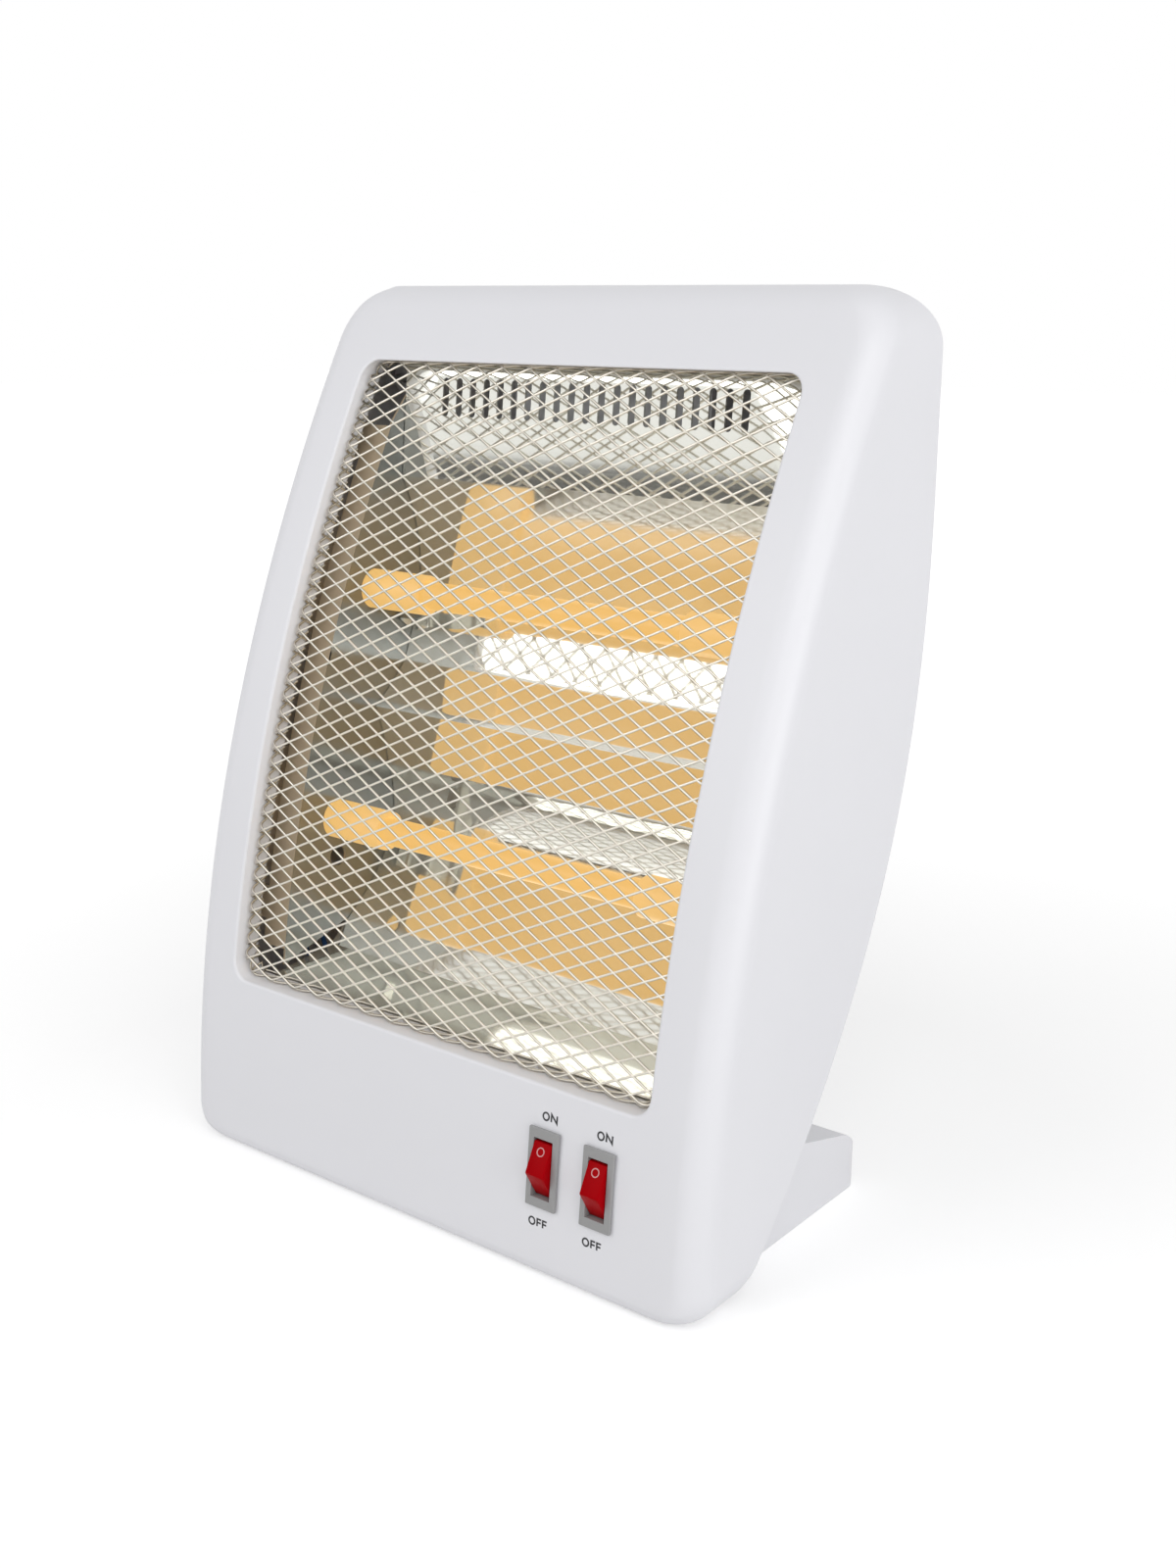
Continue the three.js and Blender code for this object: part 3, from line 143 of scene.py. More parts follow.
# -------------------------------------------------------------- what a user sets
class HeaterSizes(bpy.types.PropertyGroup):
    """Sizes that can change without touching the frame."""

    net_pitch_x: FloatProperty(
        name="Net pitch across", description="Width of one diamond of the guard",
        default=0.0141, min=0.004, unit="LENGTH", subtype="DISTANCE")
    net_pitch_z: FloatProperty(
        name="Net pitch up", description="Height of one diamond of the guard",
        default=0.0068, min=0.003, unit="LENGTH", subtype="DISTANCE")
    strand_width: FloatProperty(
        name="Strand width", description="Width of one strand of the guard",
        default=0.00085, min=0.0003, unit="LENGTH", subtype="DISTANCE")
    strand_thickness: FloatProperty(
        name="Strand thickness", description="Thickness of one strand of the guard",
        default=0.0006, min=0.0002, unit="LENGTH", subtype="DISTANCE")
    letter_height: FloatProperty(
        name="Letter height", description="Height of the capitals beside the switches",
        default=0.0036, min=0.002, unit="LENGTH", subtype="DISTANCE")
    slot_count: IntProperty(
        name="Slots", description="Number of slots in the reflector's top panel",
        default=SLOT_COUNT, min=1)


def colour(name, description, value):
    """A colour that the user can change."""
    return FloatVectorProperty(
        name=name, description=description, default=value, min=0, max=1, size=3, subtype="COLOR")


class HeaterColours(bpy.types.PropertyGroup):
    """Colours of the finishes."""

    housing: colour("Housing", "White plastic of the housing and foot", linear(229, 229, 233))
    guard: colour("Guard", "Bright steel of the guard", linear(216, 211, 200))
    reflector: colour("Reflector", "Polished steel of the reflector", linear(240, 240, 232))
    glow: colour("Glow", "Light of the hot tubes", linear(234, 184, 102))
    # The caps' colour is an emission: painted light of the hot tubes falling on the caps.
    ceramic: colour("Ceramic", "Caps at the ends of the tubes", linear(232, 186, 108))
    bezel: colour("Bezel", "Grey frames of the switches", linear(150, 150, 150))
    rocker: colour("Rocker", "Red rockers", linear(160, 0, 8))
    letters: colour("Letters", "Lettering beside the switches", linear(38, 38, 42))


# --------------------------------------------------------------- body surfaces
def face_y(z):
    t = z / HEIGHT
    return FACE_LEAN * t - 4 * FACE_BOW * t * (1 - t)


def face_slope(z):
    return (FACE_LEAN - 4 * FACE_BOW * (1 - 2 * z / HEIGHT)) / HEIGHT


def arc_drop(radius, distance):
    return radius - math.sqrt(max(0.0, radius * radius - distance * distance))


def half_width(z, inset):
    top = z - (HEIGHT - CORNER_TOP)
    bottom = CORNER_BOTTOM - z
    if top > 0:
        return HALF - inset - arc_drop(CORNER_TOP - inset, top)
    if bottom > 0:
        return HALF - inset - arc_drop(CORNER_BOTTOM - inset, bottom)
    return HALF - inset


def front_y(z, inset):
    top = z - (HEIGHT - EDGE_TOP)
    bottom = EDGE_BOTTOM - z
    y = face_y(z) + inset
    if top > 0:
        y += arc_drop(EDGE_TOP - inset, top)
    if bottom > 0:
        y += arc_drop(EDGE_BOTTOM - inset, bottom)
    return y


def rear_y(z, inset=0.0):
    sweep = max(0.0, (REAR_SWEEP_TOP - z) / REAR_SWEEP_TOP)
    top = z - (HEIGHT - REAR_TOP_R)
    y = REAR_Y - inset - REAR_SWEEP * sweep ** REAR_SWEEP_POWER
    if top > 0:
        y -= arc_drop(REAR_TOP_R - inset, top)
    return y


def cover_y(z):
    return rear_y(z) - COVER_INSET


def well_y(z):
    return cover_y(z) - WELL_DEPTH


def body_ring(z, inset, arc_steps=12, front_steps=24):
    """The housing's outline at one height, from above."""
    a = half_width(z, inset)
    front, rear = front_y(z, inset), rear_y(z, inset)
    r = min(EDGE_SIDE - inset, (rear - front) * 0.8)
    ring = [(a, rear, z), (-a, rear, z)]
    for side, start in ((-1, math.pi), (1, 1.5 * math.pi)):
        for i in range(arc_steps + 1):
            angle = start + i / arc_steps * math.pi / 2
            ring.append((side * (a - r) + r * math.cos(angle), front + r + r * math.sin(angle), z))
        if side < 0:
            for i in range(1, front_steps):
                ring.append(((a - r) * (2 * i / front_steps - 1), front, z))
    return ring


def housing_screw_places():
    return [(side * HOUSING_SCREW_X, z) for side in (-1, 1) for z in HOUSING_SCREW_Z]


def switch_matrix():
    """From a switch's own axes, -Y out of the face, to the millimetre axes."""
    turn = Matrix.Rotation(-math.atan(face_slope(SWITCH_Z)), 4, "X")
    return Matrix.Translation((0, face_y(SWITCH_Z), SWITCH_Z)) @ turn


# ---------------------------------------------------------------------- shapes
def spread(start, end, steps):
    """Evenly spaced values from one to another, both included."""
    return [start + (end - start) * i / steps for i in range(steps + 1)]


# A shape is a pair: its points in millimetres and its faces.
def loft(rings):
    count = len(rings[0])
    points = [p for ring in rings for p in ring]
    faces = []
    for i in range(len(rings) - 1):
        for j in range(count):
            k = (j + 1) % count
            faces.append((i * count + j, i * count + k, (i + 1) * count + k, (i + 1) * count + j))
    faces.append(tuple(reversed(range(count))))
    faces.append(tuple((len(rings) - 1) * count + j for j in range(count)))
    return points, faces


def ring_of(sections):
    """Closed sections joined one to the next, and the last to the first."""
    count, loops = len(sections[0]), len(sections)
    points = [p for section in sections for p in section]
    faces = []
    for i in range(loops):
        for j in range(count):
            k, n = (j + 1) % count, (i + 1) % loops
            faces.append((i * count + j, i * count + k, n * count + k, n * count + j))
    return points, faces


def ribbon(front, back, x0, x1):
    """A sheet across X between two [y, z] paths."""
    sections = []
    for x in (x0, x1):
        sections.append([(x, y, z) for y, z in front] + [(x, y, z) for y, z in reversed(back)])
    count, n = len(sections[0]), len(front)
    points = sections[0] + sections[1]
    faces = [(j, (j + 1) % count, count + (j + 1) % count, count + j) for j in range(count)]
    for base in (0, count):
        for j in range(n - 1):
            faces.append((base + j, base + j + 1, base + count - 2 - j, base + count - 1 - j))
    return points, faces


def offset_path(path, distance):
    """A [y, z] path moved sideways along its normals."""
    moved = []
    for i, (y, z) in enumerate(path):
        (y0, z0), (y1, z1) = path[max(i - 1, 0)], path[min(i + 1, len(path) - 1)]
        length = math.hypot(y1 - y0, z1 - z0)
        moved.append((y + distance * (z1 - z0) / length, z - distance * (y1 - y0) / length))
    return moved


def slab(outline, x0, x1):
    """A [y, z] outline carried across X."""
    return loft([[(x, y, z) for y, z in outline] for x in (x0, x1)])


def prism(outline, y0, y1):
    """An [x, z] outline carried along Y."""
    return loft([[(x, y, z) for x, z in outline] for y in (y0, y1)])


def box(x0, x1, y0, y1, z0, z1):
    return slab([(y0, z0), (y1, z0), (y1, z1), (y0, z1)], x0, x1)


def lathe(profile, origin, axis, sides=48):
    """A turned shape: a closed profile of (distance along the axis, radius)."""
    turn = Vector((0, 0, 1)).rotation_difference(Vector(axis).normalized())
    start = Vector(origin)
    sections = []
    for i in range(sides):
        angle = 2 * math.pi * i / sides
        direction = Vector((math.cos(angle), math.sin(angle), 0))
        sections.append([
            tuple(start + turn @ (direction * radius + Vector((0, 0, along))))
            for along, radius in profile])
    return ring_of(sections)


def bar(start, end, radius, sides=24):
    a, b = Vector(start), Vector(end)
    turn = Vector((0, 0, 1)).rotation_difference((b - a).normalized())
    rings = []
    for centre in (a, b):
        rings.append([
            tuple(centre + turn @ (Vector((math.cos(t), math.sin(t), 0)) * radius))
            for t in (2 * math.pi * i / sides for i in range(sides))])
    return loft(rings)


def obround(x0, x1, z0, z1, steps=8):
    """An [x, z] outline with half-round ends on its shorter sides."""
    r = min(x1 - x0, z1 - z0) / 2
    wide = x1 - x0 > z1 - z0
    ends = [((x1 - r, z0 + r), -90), ((x0 + r, z1 - r), 90)] if wide else [
        ((x0 + r, z1 - r), 0), ((x0 + r, z0 + r), 180)]
    outline = []
    for (cx, cz), start in ends:
        for i in range(steps + 1):
            angle = math.radians(start + 180 * i / steps)
            outline.append((cx + r * math.cos(angle), cz + r * math.sin(angle)))
    return outline


def moved(shape, matrix):
    points, faces = shape
    return [tuple(matrix @ Vector(p)) for p in points], faces


def joined(*shapes):
    points, faces = [], []
    for more_points, more_faces in shapes:
        start = len(points)
        points += more_points
        faces += [tuple(start + i for i in f) for f in more_faces]
    return points, faces


# ------------------------------------------------------------------- mesh work
def build(name, shape, merge=1e-7):
    """An object from a shape, its faces turned outward."""
    points, faces = shape
    mesh = bpy.data.meshes.new(name)
    mesh.from_pydata([(x * MM, (y - ORIGIN_Y) * MM, z * MM) for x, y, z in points], [], faces)
    bm = bmesh.new()
    bm.from_mesh(mesh)
    bmesh.ops.remove_doubles(bm, verts=bm.verts, dist=merge)
    bmesh.ops.recalc_face_normals(bm, faces=bm.faces)
    bm.to_mesh(mesh)
    bm.free()
    obj = bpy.data.objects.new(name, mesh)
    bpy.context.scene.collection.objects.link(obj)
    return obj


def bake_modifiers(obj):
    """Turns what the modifiers make into the object's own mesh."""
    evaluated = obj.evaluated_get(bpy.context.evaluated_depsgraph_get())
    mesh = bpy.data.meshes.new_from_object(evaluated)
    obj.modifiers.clear()
    obj.data = mesh
    return obj


def discard(*objects):
    for obj in objects:
        bpy.data.objects.remove(obj)


def combine_with(obj, tool, operation, overlapping=False):
    """Adds, cuts or keeps the common part of an object and a tool, and uses the tool up."""
    modifier = obj.modifiers.new("combine", "BOOLEAN")
    modifier.operation = operation
    modifier.solver = "EXACT"
    modifier.use_self = overlapping
    modifier.object = tool
    bake_modifiers(obj)
    discard(tool)
    return obj


def combine(obj, shape, operation, overlapping=False):
    return combine_with(obj, build("tool", shape), operation, overlapping)


def bevel(obj, width, segments=2, angle=40.0):
    modifier = obj.modifiers.new("edges", "BEVEL")
    modifier.width = width * MM
    modifier.segments = segments
    modifier.limit_method = "ANGLE"
    modifier.angle_limit = math.radians(angle)
    return bake_modifiers(obj)


def smooth(obj, angle=32.0):
    """Smooth shading with sharp edges where the surface turns by more than the angle."""
    bm = bmesh.new()
    bm.from_mesh(obj.data)
    bmesh.ops.remove_doubles(bm, verts=bm.verts, dist=2e-6)
    bmesh.ops.dissolve_degenerate(bm, edges=bm.edges, dist=1e-7)
    limit = math.radians(angle)
    for face in bm.faces:
        face.smooth = True
    for edge in bm.edges:
        edge.smooth = len(edge.link_faces) == 2 and edge.calc_face_angle(0) < limit
    bm.to_mesh(obj.data)
    bm.free()
    return obj


def finish(obj, material, body=BODY, stands_for=()):
    """Gives a piece its finish and its body, and hides the CAD nodes that it stands for."""
    obj.data.materials.clear()
    obj.data.materials.append(material)
    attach(obj, body)
    if stands_for:
        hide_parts(*stands_for)
    return obj


# ----------------------------------------------------------------- node helpers
def put(socket, value):
    """Links a socket to another, or sets its value."""
    if isinstance(value, bpy.types.NodeSocket):
        socket.id_data.links.new(value, socket)
    else:
        socket.default_value = value


def node(tree, kind, inputs=None, **settings):
    made = tree.nodes.new(kind)
    for key, value in settings.items():
        setattr(made, key, value)
    for key, value in (inputs or {}).items():
        put(made.inputs[key], value)
    return made


def calc(tree, operation, *values):
    return node(tree, "ShaderNodeMath", dict(enumerate(values)), operation=operation).outputs[0]


def sums(tree):
    """Short forms of the sums that a tree uses often."""
    names = ("ADD", "SUBTRACT", "MULTIPLY", "DIVIDE", "MINIMUM", "MAXIMUM")
    return [lambda *values, name=name: calc(tree, name, *values) for name in names]


def vector_of(tree, x=0.0, y=0.0, z=0.0):
    return node(tree, "ShaderNodeCombineXYZ", {0: x, 1: y, 2: z}).outputs[0]


def parts_of(tree, vector):
    made = node(tree, "ShaderNodeSeparateXYZ", {0: vector})
    return made.outputs[0], made.outputs[1], made.outputs[2]


def open_tree(name, kind, inputs, outputs):
    """A new group of nodes with named inputs and outputs, and the sockets of its inputs."""
    tree = bpy.data.node_groups.new(name, kind)
    for title, socket_kind, default in inputs:
        socket = tree.interface.new_socket(title, in_out="INPUT", socket_type=socket_kind)
        if default is not None:
            socket.default_value = default
    for title, socket_kind in outputs:
        tree.interface.new_socket(title, in_out="OUTPUT", socket_type=socket_kind)
    return tree, tree.nodes.new("NodeGroupInput").outputs


def open_geometry(name, inputs):
    """A geometry tree whose first input is the piece and whose last is its material."""
    return open_tree(
        name, "GeometryNodeTree",
        [("Geometry", "NodeSocketGeometry", None), *inputs, ("Material", "NodeSocketMaterial", None)],
        [("Geometry", "NodeSocketGeometry")])


def close_geometry(tree, geometry, material):
    """Ends a geometry tree with real geometry in the given material."""
    real = node(tree, "GeometryNodeRealizeInstances", {0: geometry}).outputs[0]
    done = node(tree, "GeometryNodeSetMaterial", {"Geometry": real, "Material": material})
    node(tree, "NodeGroupOutput", {0: done.outputs[0]})
    return tree


def run_tree(obj, tree, values):
    """Runs a geometry tree on an object with the given inputs and keeps the plain mesh."""
    modifier = obj.modifiers.new(tree.name, "NODES")
    modifier.node_group = tree
    for item in tree.interface.items_tree:
        if item.item_type == "SOCKET" and item.in_out == "INPUT" and item.name in values:
            modifier[item.identifier] = values[item.name]
    return bake_modifiers(obj)


# --------------------------------------------------------------- shader groups
def mottle_group():
    """Fine moulded grain and a slow change of tone."""
    tree = bpy.data.node_groups.get("moulded surface")
    if tree:
        return tree
    tree, source = open_tree(
        "moulded surface", "ShaderNodeTree",
        [("Vector", "NodeSocketVector", None), ("Grain size", "NodeSocketFloat", 1800.0),
         ("Tone size", "NodeSocketFloat", 14.0)],
        [("Grain", "NodeSocketFloat"), ("Tone", "NodeSocketFloat")])
    grain = node(tree, "ShaderNodeTexNoise", {"Vector": source["Vector"], "Scale": source["Grain size"],
                                              "Detail": 3.0, "Roughness": 0.6})
    tone = node(tree, "ShaderNodeTexNoise", {"Vector": source["Vector"], "Scale": source["Tone size"],
                                             "Detail": 4.0, "Roughness": 0.5})
    node(tree, "NodeGroupOutput", {"Grain": grain.outputs[0], "Tone": tone.outputs[0]})
    return tree


def rolled_group():
    """Rolling marks of thin sheet metal and the slow waves of a pressed panel."""
    tree = bpy.data.node_groups.get("rolled metal")
    if tree:
        return tree
    tree, source = open_tree(
        "rolled metal", "ShaderNodeTree",
        [("Vector", "NodeSocketVector", None), ("Marks", "NodeSocketVector", None),
         ("Waves", "NodeSocketFloat", 18.0)],
        [("Streak", "NodeSocketFloat"), ("Wave", "NodeSocketFloat")])
    stretched = node(tree, "ShaderNodeVectorMath", {0: source["Vector"], 1: source["Marks"]},
                     operation="MULTIPLY").outputs[0]
    streak = node(tree, "ShaderNodeTexNoise", {"Vector": stretched, "Scale": 1.0, "Detail": 4.0,
                                               "Roughness": 0.65})
    wave = node(tree, "ShaderNodeTexNoise", {"Vector": source["Vector"], "Scale": source["Waves"],
                                             "Detail": 1.0, "Roughness": 0.4})
    node(tree, "NodeGroupOutput", {"Streak": streak.outputs[0], "Wave": wave.outputs[0]})
    return tree


def shader(name):
    """A new material with its Principled shader and the object's own coordinates."""
    material = bpy.data.materials.new(name)
    material.use_nodes = True
    tree = material.node_tree
    principled = tree.nodes["Principled BSDF"]
    place = tree.nodes.new("ShaderNodeTexCoord").outputs["Object"]
    return material, tree, principled, place


def tint(tree, factor, value, spread):
    """A colour that moves a little lighter and darker with a factor."""
    low = tuple(max(0.0, c * (1 - spread)) for c in value) + (1.0,)
    high = tuple(min(1.0, c * (1 + spread)) for c in value) + (1.0,)
    mix = node(tree, "ShaderNodeMix", data_type="RGBA")
    put(mix.inputs[0], factor)
    put(mix.inputs[6], low)
    put(mix.inputs[7], high)
    return mix.outputs[2]


def span(tree, factor, low, high):
    made = node(tree, "ShaderNodeMapRange", {"Value": factor, "From Min": 0.3, "From Max": 0.7,
                                             "To Min": low, "To Max": high})
    return made.outputs[0]


def made_once(make):
    """Makes a finish the first time that it is asked for, and hands out the same one later."""

    def finish_of(name, *values, **named):
        return bpy.data.materials.get(name) or make(name, *values, **named)

    return finish_of


@made_once
def plastic(name, value, roughness=(0.36, 0.46), spread=0.012, grain=1800.0, depth=0.012, shine=0.5):
    """Moulded plastic with a fine grain."""
    material, tree, principled, place = shader(name)
    group = node(tree, "ShaderNodeGroup", node_tree=mottle_group())
    put(group.inputs["Vector"], place)
    put(group.inputs["Grain size"], grain)
    put(principled.inputs["Base Color"], tint(tree, group.outputs["Tone"], value, spread))
    put(principled.inputs["Roughness"], span(tree, group.outputs["Grain"], *roughness))
    bump = node(tree, "ShaderNodeBump", {"Height": group.outputs["Grain"], "Distance": depth * MM,
                                         "Strength": 0.5})
    put(principled.inputs["Normal"], bump.outputs[0])
    principled.inputs["Specular IOR Level"].default_value = shine
    return material


@made_once
def metal(name, value, roughness=(0.2, 0.3), marks=(40.0, 900.0, 900.0), waves=18.0,
          wave_depth=0.0, streak_depth=0.002, spread=0.03, haze=0.0):
    """Sheet or turned metal with rolling marks, and a haze of dull oxide on it."""
    material, tree, principled, place = shader(name)
    group = node(tree, "ShaderNodeGroup", node_tree=rolled_group())
    put(group.inputs["Vector"], place)
    put(group.inputs["Marks"], marks)
    put(group.inputs["Waves"], waves)
    put(principled.inputs["Base Color"], tint(tree, group.outputs["Streak"], value, spread))
    put(principled.inputs["Roughness"], span(tree, group.outputs["Streak"], *roughness))
    principled.inputs["Metallic"].default_value = 1.0 - haze
    bump = node(tree, "ShaderNodeBump", {
        "Height": group.outputs["Streak"], "Distance": streak_depth * MM, "Strength": 0.6})
    if wave_depth:
        bump = node(tree, "ShaderNodeBump", {
            "Height": group.outputs["Wave"], "Distance": wave_depth * MM, "Strength": 1.0,
            "Normal": bump.outputs[0]})
    put(principled.inputs["Normal"], bump.outputs[0])
    return material


@made_once
def glowing(name, value, strength, surface=(0.05, 0.03, 0.01)):
    """A surface that glows by its own light, a little uneven along its length. The tubes glow for real; on
    the caps the glow is painted light from the tubes.
    """
    material, tree, principled, place = shader(name)
    group = node(tree, "ShaderNodeGroup", node_tree=mottle_group())
    put(group.inputs["Vector"], place)
    put(group.inputs["Tone size"], 60.0)
    put(principled.inputs["Base Color"], tint(tree, group.outputs["Tone"], surface, 0.1))
    put(principled.inputs["Emission Color"], tint(tree, group.outputs["Tone"], value, 0.05))
    principled.inputs["Emission Strength"].default_value = strength
    put(principled.inputs["Roughness"], span(tree, group.outputs["Grain"], 0.3, 0.45))
    return material


def colours():
    return bpy.context.scene.heater_colours


def white_plastic():
    return plastic("white moulded plastic", colours().housing)


def polished_steel():
    return metal("polished reflector steel", colours().reflector, roughness=(0.04, 0.07),
                 marks=(12.0, 700.0, 700.0), waves=16.0, wave_depth=0.03, streak_depth=0.0006, haze=0.2)


def cheek_steel():
    return metal("dull cheek steel", linear(140, 143, 142), roughness=(0.14, 0.22),
                 marks=(200.0, 200.0, 200.0), waves=26.0, wave_depth=0.9, streak_depth=0.0004,
                 haze=0.35)


# Painted light: a brownish matte colour that stands in for the tubes' warm light reflected on the shaded
# flange.
def flange_painted_tube_light():
    return plastic("stained flange steel", linear(186, 168, 142), (0.45, 0.6), 0.12, 500.0, 0.02)


def bright_steel():
    return metal("bright net steel", colours().guard, roughness=(0.28, 0.4),
                 marks=(300.0, 300.0, 300.0))


def spring_steel():
    return metal("spring steel", linear(214, 214, 210), roughness=(0.16, 0.26))


# --------------------------------------------------------------- geometry trees
def net_tree():
    """An expanded metal net, rolled back round its edge and laid on the bowed face."""
    number = "NodeSocketFloat"
    tree, given = open_geometry("expanded net", [
        ("Pitch across", number, 0.0141), ("Pitch up", number, 0.0068), ("Strand width", number, 0.001),
        ("Strand thickness", number, 0.0006), ("Half width", number, 0.1), ("Bottom", number, 0.0),
        ("Top", number, 0.1), ("Corner radius", number, 0.008), ("Roll radius", number, 0.002),
        ("Roll depth", number, 0.006), ("Height", number, 0.362), ("Lean", number, 0.1),
        ("Bow", number, 0.02), ("Start y", number, 0.0)])
    add, less, times, over, least, most = sums(tree)
    half_x, half_z = times(given["Pitch across"], 0.5), times(given["Pitch up"], 0.5)
    quarter = times(given["Roll radius"], math.pi / 2)
    reach = add(quarter, given["Roll depth"])
    middle = times(add(given["Bottom"], given["Top"]), 0.5)
    tall = times(less(given["Top"], given["Bottom"]), 0.5)
    columns = add(calc(tree, "CEIL", over(add(given["Half width"], reach), half_x)), 1.0)
    rows = calc(tree, "CEIL", over(add(tall, reach), half_z))
    start_x, start_z = times(times(columns, half_x), -1.0), less(middle, times(rows, half_z))

    def line(count, start, step):
        made = node(tree, "GeometryNodeMeshLine", mode="OFFSET")
        put(made.inputs["Count"], count)
        put(made.inputs["Start Location"], start)
        put(made.inputs["Offset"], step)
        return made.outputs[0]

    # One zigzag strand, repeated up the window with every second one moved by half a diamond.
    odd = calc(tree, "MODULO", tree.nodes.new("GeometryNodeInputIndex").outputs[0], 2.0)
    strand = node(tree, "GeometryNodeSetPosition", {
        "Geometry": line(add(times(columns, 2.0), 1.0), vector_of(tree, x=start_x),
                         vector_of(tree, x=half_x)),
        "Offset": vector_of(tree, z=times(odd, half_z))})
    strand = node(tree, "GeometryNodeMeshToCurve", {0: strand.outputs[0]})
    strand = node(tree, "GeometryNodeSubdivideCurve", {"Curve": strand.outputs[0], "Cuts": 3})
    places = node(tree, "GeometryNodeSetPosition", {
        "Geometry": line(times(rows, 2.0), vector_of(tree, z=start_z), vector_of(tree, z=half_z)),
        "Offset": vector_of(tree, x=times(odd, half_x))})
    many = node(tree, "GeometryNodeInstanceOnPoints", {
        "Points": places.outputs[0], "Instance": strand.outputs[0]})
    flat = node(tree, "GeometryNodeRealizeInstances", {0: many.outputs[0]}).outputs[0]

    # Past the window's edge the net rolls back round a quarter circle and runs on behind it.
    x, _, z = parts_of(tree, tree.nodes.new("GeometryNodeInputPosition").outputs[0])
    side = less(given["Half width"], given["Corner radius"])
    centre_x = most(least(x, side), times(side, -1.0))
    low = add(given["Bottom"], given["Corner radius"])
    high = less(given["Top"], given["Corner radius"])
    centre_z = most(least(z, high), low)
    out_x, out_z = less(x, centre_x), less(z, centre_z)
    length = most(calc(tree, "SQRT", add(times(out_x, out_x), times(out_z, out_z))), 1e-9)
    level = less(given["Corner radius"], given["Roll radius"])
    past = most(less(length, level), 0.0)
    angle = least(over(past, given["Roll radius"]), math.pi / 2)
    radial = add(least(length, level), times(given["Roll radius"], calc(tree, "SINE", angle)))
    turned = less(1.0, calc(tree, "COSINE", angle))
    depth = add(times(given["Roll radius"], turned), most(less(past, quarter), 0.0))
    share = over(radial, length)
    new_x, new_z = add(centre_x, times(out_x, share)), add(centre_z, times(out_z, share))

    # The face leans back and bows forward.
    t = over(new_z, given["Height"])
    bow = times(times(given["Bow"], 4.0), times(t, less(1.0, t)))
    face = less(times(given["Lean"], t), bow)
    new_y = add(add(face, depth), given["Start y"])
    beyond = node(tree, "FunctionNodeCompare", {"A": past, "B": reach}, data_type="FLOAT",
                  operation="GREATER_THAN").outputs[0]
    trimmed = node(tree, "GeometryNodeDeleteGeometry", {"Geometry": flat, "Selection": beyond},
                   domain="POINT").outputs[0]
    laid = node(tree, "GeometryNodeSetPosition", {
        "Geometry": trimmed, "Position": vector_of(tree, new_x, new_y, new_z)}).outputs[0]
    laid = node(tree, "GeometryNodeSetCurveNormal", {"Curve": laid}, mode="Z_UP").outputs[0]
    section = node(tree, "GeometryNodeCurvePrimitiveQuadrilateral", {
        "Width": given["Strand thickness"], "Height": given["Strand width"]}).outputs[0]
    solid = node(tree, "GeometryNodeCurveToMesh", {
        "Curve": laid, "Profile Curve": section, "Fill Caps": True}).outputs[0]
    return close_geometry(tree, solid, given["Material"])


def cut_tree():
    """The same opening cut through a piece at many places."""
    tree = bpy.data.node_groups.get("openings in a row")
    if tree:
        return tree
    tree, given = open_geometry("openings in a row", [
        ("Places", "NodeSocketObject", None), ("Opening", "NodeSocketObject", None)])
    places = node(tree, "GeometryNodeObjectInfo", {"Object": given["Places"]}).outputs["Geometry"]
    opening = node(tree, "GeometryNodeObjectInfo", {"Object": given["Opening"]}).outputs["Geometry"]
    many = node(tree, "GeometryNodeInstanceOnPoints", {"Points": places, "Instance": opening})
    cutters = node(tree, "GeometryNodeRealizeInstances", {0: many.outputs[0]}).outputs[0]
    done = node(tree, "GeometryNodeMeshBoolean", {"Mesh 1": given["Geometry"], "Mesh 2": cutters},
                operation="DIFFERENCE", solver="EXACT").outputs[0]
    return close_geometry(tree, done, given["Material"])


def repeat_tree():
    """One piece set at many places, each turned to the place's own direction."""
    tree = bpy.data.node_groups.get("pieces at places")
    if tree:
        return tree
    tree, given = open_geometry("pieces at places", [
        ("Piece", "NodeSocketObject", None), ("Turn seed", "NodeSocketInt", 3)])
    piece = node(tree, "GeometryNodeObjectInfo", {"Object": given["Piece"]}).outputs["Geometry"]
    direction = node(tree, "GeometryNodeInputNamedAttribute", {"Name": "direction"},
                     data_type="FLOAT_VECTOR").outputs["Attribute"]
    facing = node(tree, "FunctionNodeAlignRotationToVector", {"Vector": direction}, axis="Z").outputs[0]
    spin = node(tree, "FunctionNodeRandomValue", {"Seed": given["Turn seed"]}, data_type="FLOAT")
    spin.inputs[2].default_value = 0.0
    spin.inputs[3].default_value = math.pi / 2
    own = node(tree, "FunctionNodeAxisAngleToRotation", {"Axis": (0, 0, 1)})
    put(own.inputs["Angle"], spin.outputs[1])
    turn = node(tree, "FunctionNodeRotateRotation", {0: facing, 1: own.outputs[0]},
                rotation_space="LOCAL")
    many = node(tree, "GeometryNodeInstanceOnPoints", {
        "Points": given["Geometry"], "Instance": piece, "Rotation": turn.outputs[0]})
    return close_geometry(tree, many.outputs[0], given["Material"])


def cut_row(obj, opening, places, material):
    """Cuts an opening through a piece, moved by each of the places."""
    points = build("places", ([(x, y + ORIGIN_Y, z) for x, y, z in places], []), merge=0.0)
    cutter = build("opening", opening)
    run_tree(obj, cut_tree(), {"Places": points, "Opening": cutter, "Material": material})
    discard(points, cutter)
    return obj


